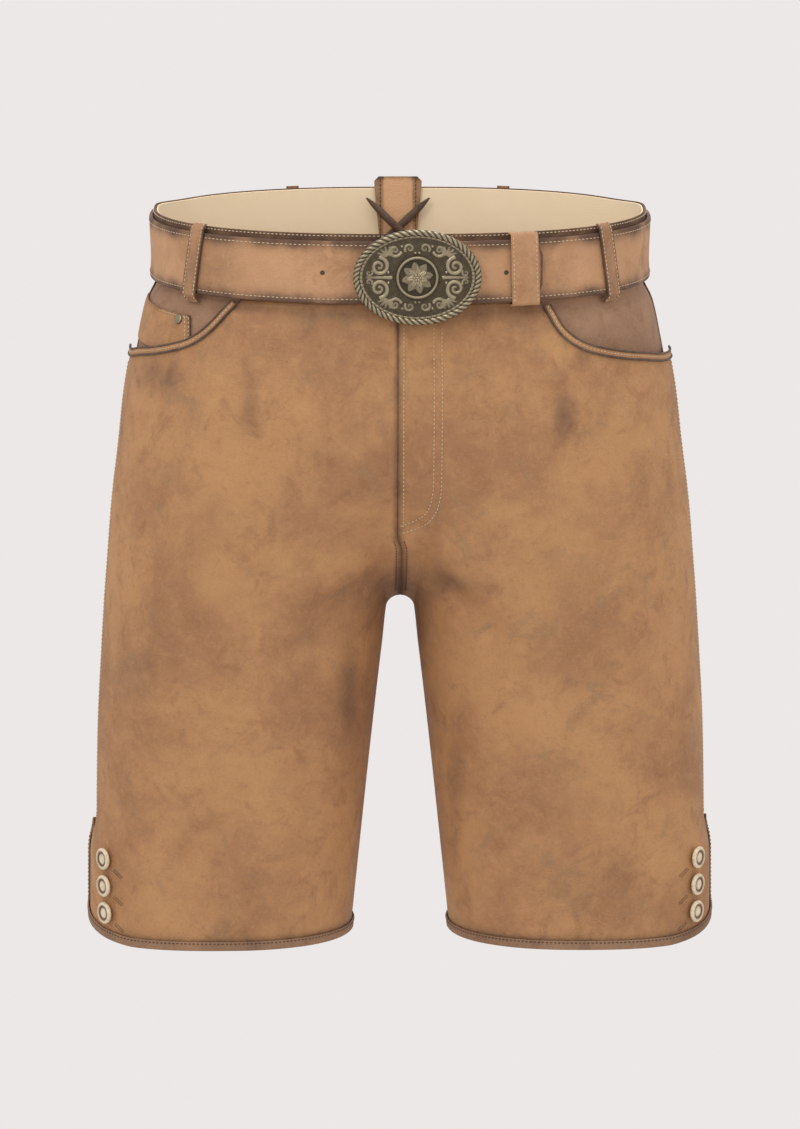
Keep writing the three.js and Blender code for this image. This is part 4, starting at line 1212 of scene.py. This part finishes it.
def plate_height(x, z, r):
    base = 2.0 + 1.3 * np.sqrt(np.clip(1 - r**2 * 0.9, 0, 1))
    total = np.zeros_like(x)
    for sx in (-1, 1):
        for sz in (-1, 1):
            total = np.maximum(total, ridge(x, z, volute(26.5, 7.6, 6.4, 100, 1.5, sx, sz), 1.5, 1.1))
            total = np.maximum(total, ridge(x, z, volute(15.5, 18.6, 4.4, 200, 1.3, sx, sz), 1.2, 0.9))
            total = np.maximum(total, ridge(x, z, volute(5.4, 20.0, 3.4, 330, 1.2, sx, sz), 1.0, 0.8))
            total = np.maximum(total, ridge(x, z, volute(33.5, 3.2, 2.4, 150, 1.1, sx, sz), 0.8, 0.7))
            for cx, cz, size in ((10.6, 21.4, 1.0), (1.3, 16.9, 0.9), (20.0, 3.6, 1.1), (20.8, 8.2, 0.8)):
                gap = (x - sx * cx) ** 2 + (z - sz * cz) ** 2
                total = np.maximum(total, np.sqrt(np.clip(size**2 - gap, 0, None)))
            for k in range(5):
                a = math.radians(20 + 26 * k)
                leaf = [(sx * (20 + s * math.cos(a)), sz * (14.5 + s * math.sin(a) * 0.9))
                        for s in np.linspace(2, 7.5, 12)]
                total = np.maximum(total, ridge(x, z, leaf, 1.25, 0.8))
        total = np.maximum(total, ridge(x, z, [(sx * s, 0) for s in np.linspace(18, 35, 40)], 1.3, 0.9))
    beads = 64
    turn = np.arctan2(z / (RIM_UP - 3), x / (RIM_ACROSS - 3))
    bead = np.abs(np.cos(turn * beads / 2)) * np.clip(1 - ((r - 0.955) / 0.032) ** 2, 0, 1)
    total = np.maximum(total, 0.8 * np.sqrt(bead))
    grain = np.abs(np.sin(x * 2.3 + np.sin(z * 1.9)) * np.sin(z * 2.5 + np.sin(x * 1.7)))
    return base + np.maximum(total, 0.22 * grain), 0.1 + 0.2 * grain + total / 1.15


def flower_height(x, z, r):
    """A felted mountain flower: two whorls of pointed petals about a head of beads, inside a ring."""
    size = 15
    radius, turn = np.hypot(x, z), np.arctan2(z, x)
    total = np.zeros_like(x)
    for count, reach, lift, phase in ((8, 11.4, 1.0, 0.2), (7, 7.6, 1.7, 0.6)):
        for k in range(count):
            a = 2 * math.pi * k / count + phase
            along = x * math.cos(a) + z * math.sin(a)
            aside = -x * math.sin(a) + z * math.cos(a)
            half = 0.30 * reach * np.sin(np.clip(along / reach, 0, 1) * math.pi) ** 0.7 + 1e-6
            inside = np.clip(1 - (aside / half) ** 2, 0, 1) * (along > 0) * (along < reach)
            total = np.maximum(total, lift * np.sqrt(inside) * (1 - 0.25 * np.exp(-(aside / 0.35) ** 2)))
    for k in range(7):
        a = 2 * math.pi * k / 6
        cx, cz = (0, 0) if k == 6 else (1.9 * math.cos(a), 1.9 * math.sin(a))
        gap = (x - cx) ** 2 + (z - cz) ** 2
        total = np.maximum(total, 1.6 * (gap < 1) + 0.9 * np.sqrt(np.clip(1 - gap, 0, 1)))
    ring = 1.5 * np.sqrt(np.clip(1 - ((radius - size + 1.3) / 1.2) ** 2, 0, 1))
    groove = 0.25 * np.abs(np.cos(turn * 36)) * (radius > size - 2.6)
    total = np.maximum(total, ring - groove)
    return 1.2 + total, 0.1 + total / 1.9


def buckle():
    rope_rim()
    relief_disc("buckle_plate", RIM_ACROSS - 1.2, RIM_UP - 1.2, BUCKLE_BACK_Y, plate_height,
                ["buckle_plate"], rings=90, segments=300)
    relief_disc("buckle_medallion", 15, 15, BUCKLE_BACK_Y - 3.7, flower_height, ["buckle_medallion"], rings=70,
                segments=220)


# ------------------------------------------------------------------ hems and buttons
BINDING = [(5.5, 0.9), (5.45, 1.6), (5.1, 1.8), (-0.6, 1.8), (-1.2, 1.2), (-1.2, -1.5), (-0.3, -1.5), (-0.3, 0.9)]


def hem_path(face, side, sign):
    inner = inner_angle(HEM, 1 if face == "front" else -1)
    end_y = front_edge_y(HEM, side) if face == "front" else back_edge_y(HEM, side)
    angle = between(inner, angle_at_y(HEM, end_y), np.linspace(0, 1, 120))
    row, _ = skin(face, side, sign, angle, np.full(120, float(HEM)))
    row[:3, 1] += -GAP if face == "front" else GAP
    top = VENT_TOP - FLAP_SHOULDER if face == "front" else HEM + FLAP_CORNER + 8
    edge_y = front_edge_y if face == "front" else back_edge_y
    levels = np.concatenate([np.linspace(HEM, HEM + FLAP_CORNER, 24)[1:], np.linspace(HEM + FLAP_CORNER + 3, top, 30)])
    if face == "front":
        levels = np.concatenate([levels, VENT_TOP - FLAP_SHOULDER * np.linspace(1, 0.02, 16)[1:] ** 2])
    edge, _ = skin(face, side, sign, angle_at_y(levels, edge_y(levels, side)), levels)
    row = np.concatenate([row, edge])
    step = np.linalg.norm(np.diff(row, axis=0), axis=1)
    reach = np.concatenate([[0], np.cumsum(step)])
    at = np.linspace(0, reach[-1], 230)
    return np.stack([np.interp(at, reach, row[:, k]) for k in range(3)], -1)


def hem_bindings(side, sign):
    swept("hem_binding_front_" + side, hem_path("front", side, sign), BINDING, TRIM, sign)
    swept("hem_binding_back_" + side, hem_path("back", side, sign), [(-b, n) for b, n in BINDING], TRIM,
          sign)


BUTTON_LEVELS = (-470, -490, -510)
BUTTON_Y = -53
BUTTON_PROFILE = [(0, 0), (6, 0), (7.6, 1.0), (8, 1.9), (7.9, 2.8), (7.3, 3.5), (6.6, 3.8), (5.9, 3.6), (5.3, 3.0),
                  (4.7, 2.75), (4.1, 2.8), (3.6, 3.05), (2.6, 3.3), (1.4, 3.4), (0, 3.45)]
BUTTON_RINGS = [0, 0, 0, 0, 0, 0, 0, 0.35, 1, 1, 1, 0.3, 0, 0, 0]


def horn_buttons(side, sign):
    for i, level in enumerate(BUTTON_LEVELS):
        p, n = skin("front", side, sign, angle_at_y(float(level), BUTTON_Y), float(level), 1.2)
        turned(f"horn_button_{side}_{i + 1}", p, n, BUTTON_PROFILE, HORN, "horn", sign, rings=BUTTON_RINGS)


# ------------------------------------------------------------------ seams and stitches
def front_line(side, sign, x, z, above=0.3):
    """A stitch line on a front panel through places x, z on its own side, smoothed."""
    x, z = np.asarray(x, float), np.asarray(z, float)
    reach = np.concatenate([[0], np.cumsum(np.hypot(np.diff(x), np.diff(z)))])
    at = np.linspace(0, reach[-1], 120)
    rows = {"level": reach, "x": x, "z": z}
    xs, zs = follow(rows, "x", at), follow(rows, "z", at)
    level = front_level(xs, zs)
    return on_panel("front", side, sign, angle_at_x(level, xs, 1), level, above)


def fly_stitches():
    lines = []
    for inset in (0, 5.4):
        x = np.array((29.5, 29.8, 29.6, 27.2, 22.0, 14.0, 3.0)) - inset * np.array((1, 1, 1, 0.9, 0.7, 0.5, 0.3))
        z = np.array((-78, -140, -190, -206, -216, -222.5, -226.5)) + inset * np.array((0, 0, 0.1, 0.5, 0.8, 1, 1))
        lines.append(front_line("left", 1, x, z))
    z = np.linspace(-78, -222, 12)
    lines.append(front_line("left", 1, np.full(12, 4.0), z))
    stitches("fly_stitches", lines, LIGHT_THREAD)
    z = np.linspace(-232, -276, 8)
    stitches("centre_seam_stitches", [front_line("left", 1, np.full(8, 3.6), z),
                                      front_line("right", -1, np.full(8, 3.6), z)], DARK_THREAD)


def side_stitches(side, sign):
    lines = []
    levels = np.linspace(-112, VENT_TOP + 4, 120)
    for off in (4, 9):
        lines.append(on_panel("front", side, sign, angle_at_y(levels, follow(SIDE_SEAM, side, levels) - off), levels, 0.3))
    stitches("side_stitches_" + side, lines, LIGHT_THREAD)


def hem_stitches(side, sign):
    for face in ("front", "back"):
        path = hem_path(face, side, sign)
        n = normals(path)
        along = np.gradient(path, axis=0)
        inward = np.cross(n, along)
        inward /= np.linalg.norm(inward, axis=1, keepdims=True)
        inward *= 1 if face == "front" else -1
        line = path + inward * 4.2 + n * 1.85
        stitches(f"hem_stitches_{face}_{side}", [(line * (sign, 1, 1), n * (sign, 1, 1))], DARK_THREAD, width=0.9)


def pocket_stitches(side, sign):
    path, n = mouth_path(side, sign, 1.15)
    along = np.gradient(path, axis=0)
    sideways = np.cross(n, along)
    sideways /= np.linalg.norm(sideways, axis=1, keepdims=True)
    lines = [((path + sideways * off) * (sign, 1, 1), n * (sign, 1, 1)) for off in (2.4,)]
    stitches("pocket_stitches_" + side, lines, LIGHT_THREAD)


def buttonholes(side, sign):
    lines = []
    for level in BUTTON_LEVELS:
        p, n = skin("front", side, sign, angle_at_y(float(level), BUTTON_Y), float(level), 0.3)
        t = np.linspace(0.66, 1.12, 12)
        x, z = p[0] - 12.7 * t, p[2] - 11 * t
        for shift in (-0.8, 0.8):
            lines.append(front_line(side, sign, x + shift * 0.65, z - shift * 0.75, 0.2))
    stitches("buttonholes_" + side, lines, BROWN_THREAD, length=0.9, width=0.6, spacing=1.15)


def gusset_stitches():
    levels = np.linspace(2, -70, 60)
    lines = []
    for x in (-13.4, 13.4):
        p = across(np.full(60, x), levels, -3.9, -1)
        lines.append((p, -normals(np.abs(p) * (1, 1, -1) + 0 * p)))
    stitches("gusset_stitches", lines, DARK_THREAD)


back_gusset()
lace_pieces()
fly_underlap()
coin_pocket()
belt()
belt_keeper()
buckle()
fly_stitches()
gusset_stitches()
for side, sign in SIDES:
    waist_pieces(side, sign)
    pocket_pieces(side, sign)
    belt_loop("belt_loop_front_" + side, 139, 147, 1, sign)
    belt_loop("belt_loop_back_" + side, 78, 78, -1, sign)
    hem_bindings(side, sign)
    horn_buttons(side, sign)
    side_stitches(side, sign)
    hem_stitches(side, sign)
    pocket_stitches(side, sign)
    buttonholes(side, sign)


# ------------------------------------------------------------------ camera, light and floor
FLOOR_RADIUS = 900
FLOOR_LEVEL = -1000


def camera():
    data = bpy.data.cameras.new("camera")
    data.sensor_fit = "VERTICAL"
    data.sensor_height = 36
    data.lens = 122.6
    eye = bpy.data.objects.new("camera", data)
    eye.location = (-0.0366, -2.8, 0.125)
    eye.rotation_euler = (math.radians(90 - 7.874), 0, math.radians(-0.75))
    bpy.context.scene.collection.objects.link(eye)
    bpy.context.scene.camera = eye


def lamp(name, place, energy, size, colour=(1, 1, 1)):
    data = bpy.data.lights.new(name, "AREA")
    data.energy, data.size, data.color = energy, size, colour
    light = bpy.data.objects.new(name, data)
    light.location = place
    aim = np.array((0, 0, -0.25)) - np.array(place)
    light.rotation_euler = (math.atan2(math.hypot(aim[0], aim[1]), -aim[2]), 0,
                            math.atan2(-aim[0], aim[1]))
    bpy.context.scene.collection.objects.link(light)


def studio():
    scene = bpy.context.scene
    scene.view_settings.view_transform = "Standard"
    world = bpy.data.worlds.new("studio")
    scene.world = world
    world.use_nodes = True
    world.node_tree.nodes["Background"].inputs[0].default_value = linear("#ece8e7")
    world.node_tree.nodes["Background"].inputs[1].default_value = 1.0
    lamp("key", (-1.4, -2.2, 1.9), 16, 1.0)
    lamp("fill", (2.0, -1.8, 0.6), 4, 1.8)
    lamp("back", (0.3, 2.4, 1.6), 8, 1.6)
    lamp("top", (0.0, -0.5, 1.7), 10, 0.9)
    material, tree, shader = new_material("pale_floor")
    shader.inputs["Base Color"].default_value = linear("#e9e6e4")
    shader.inputs["Roughness"].default_value = 0.9
    turn = np.linspace(0, 2 * math.pi, 96, endpoint=False)
    ring = [(FLOOR_RADIUS * math.cos(a), FLOOR_RADIUS * math.sin(a), FLOOR_LEVEL) for a in turn]
    floor = make("floor", ring, [tuple(range(96))], material, smooth=False)


camera()
studio()
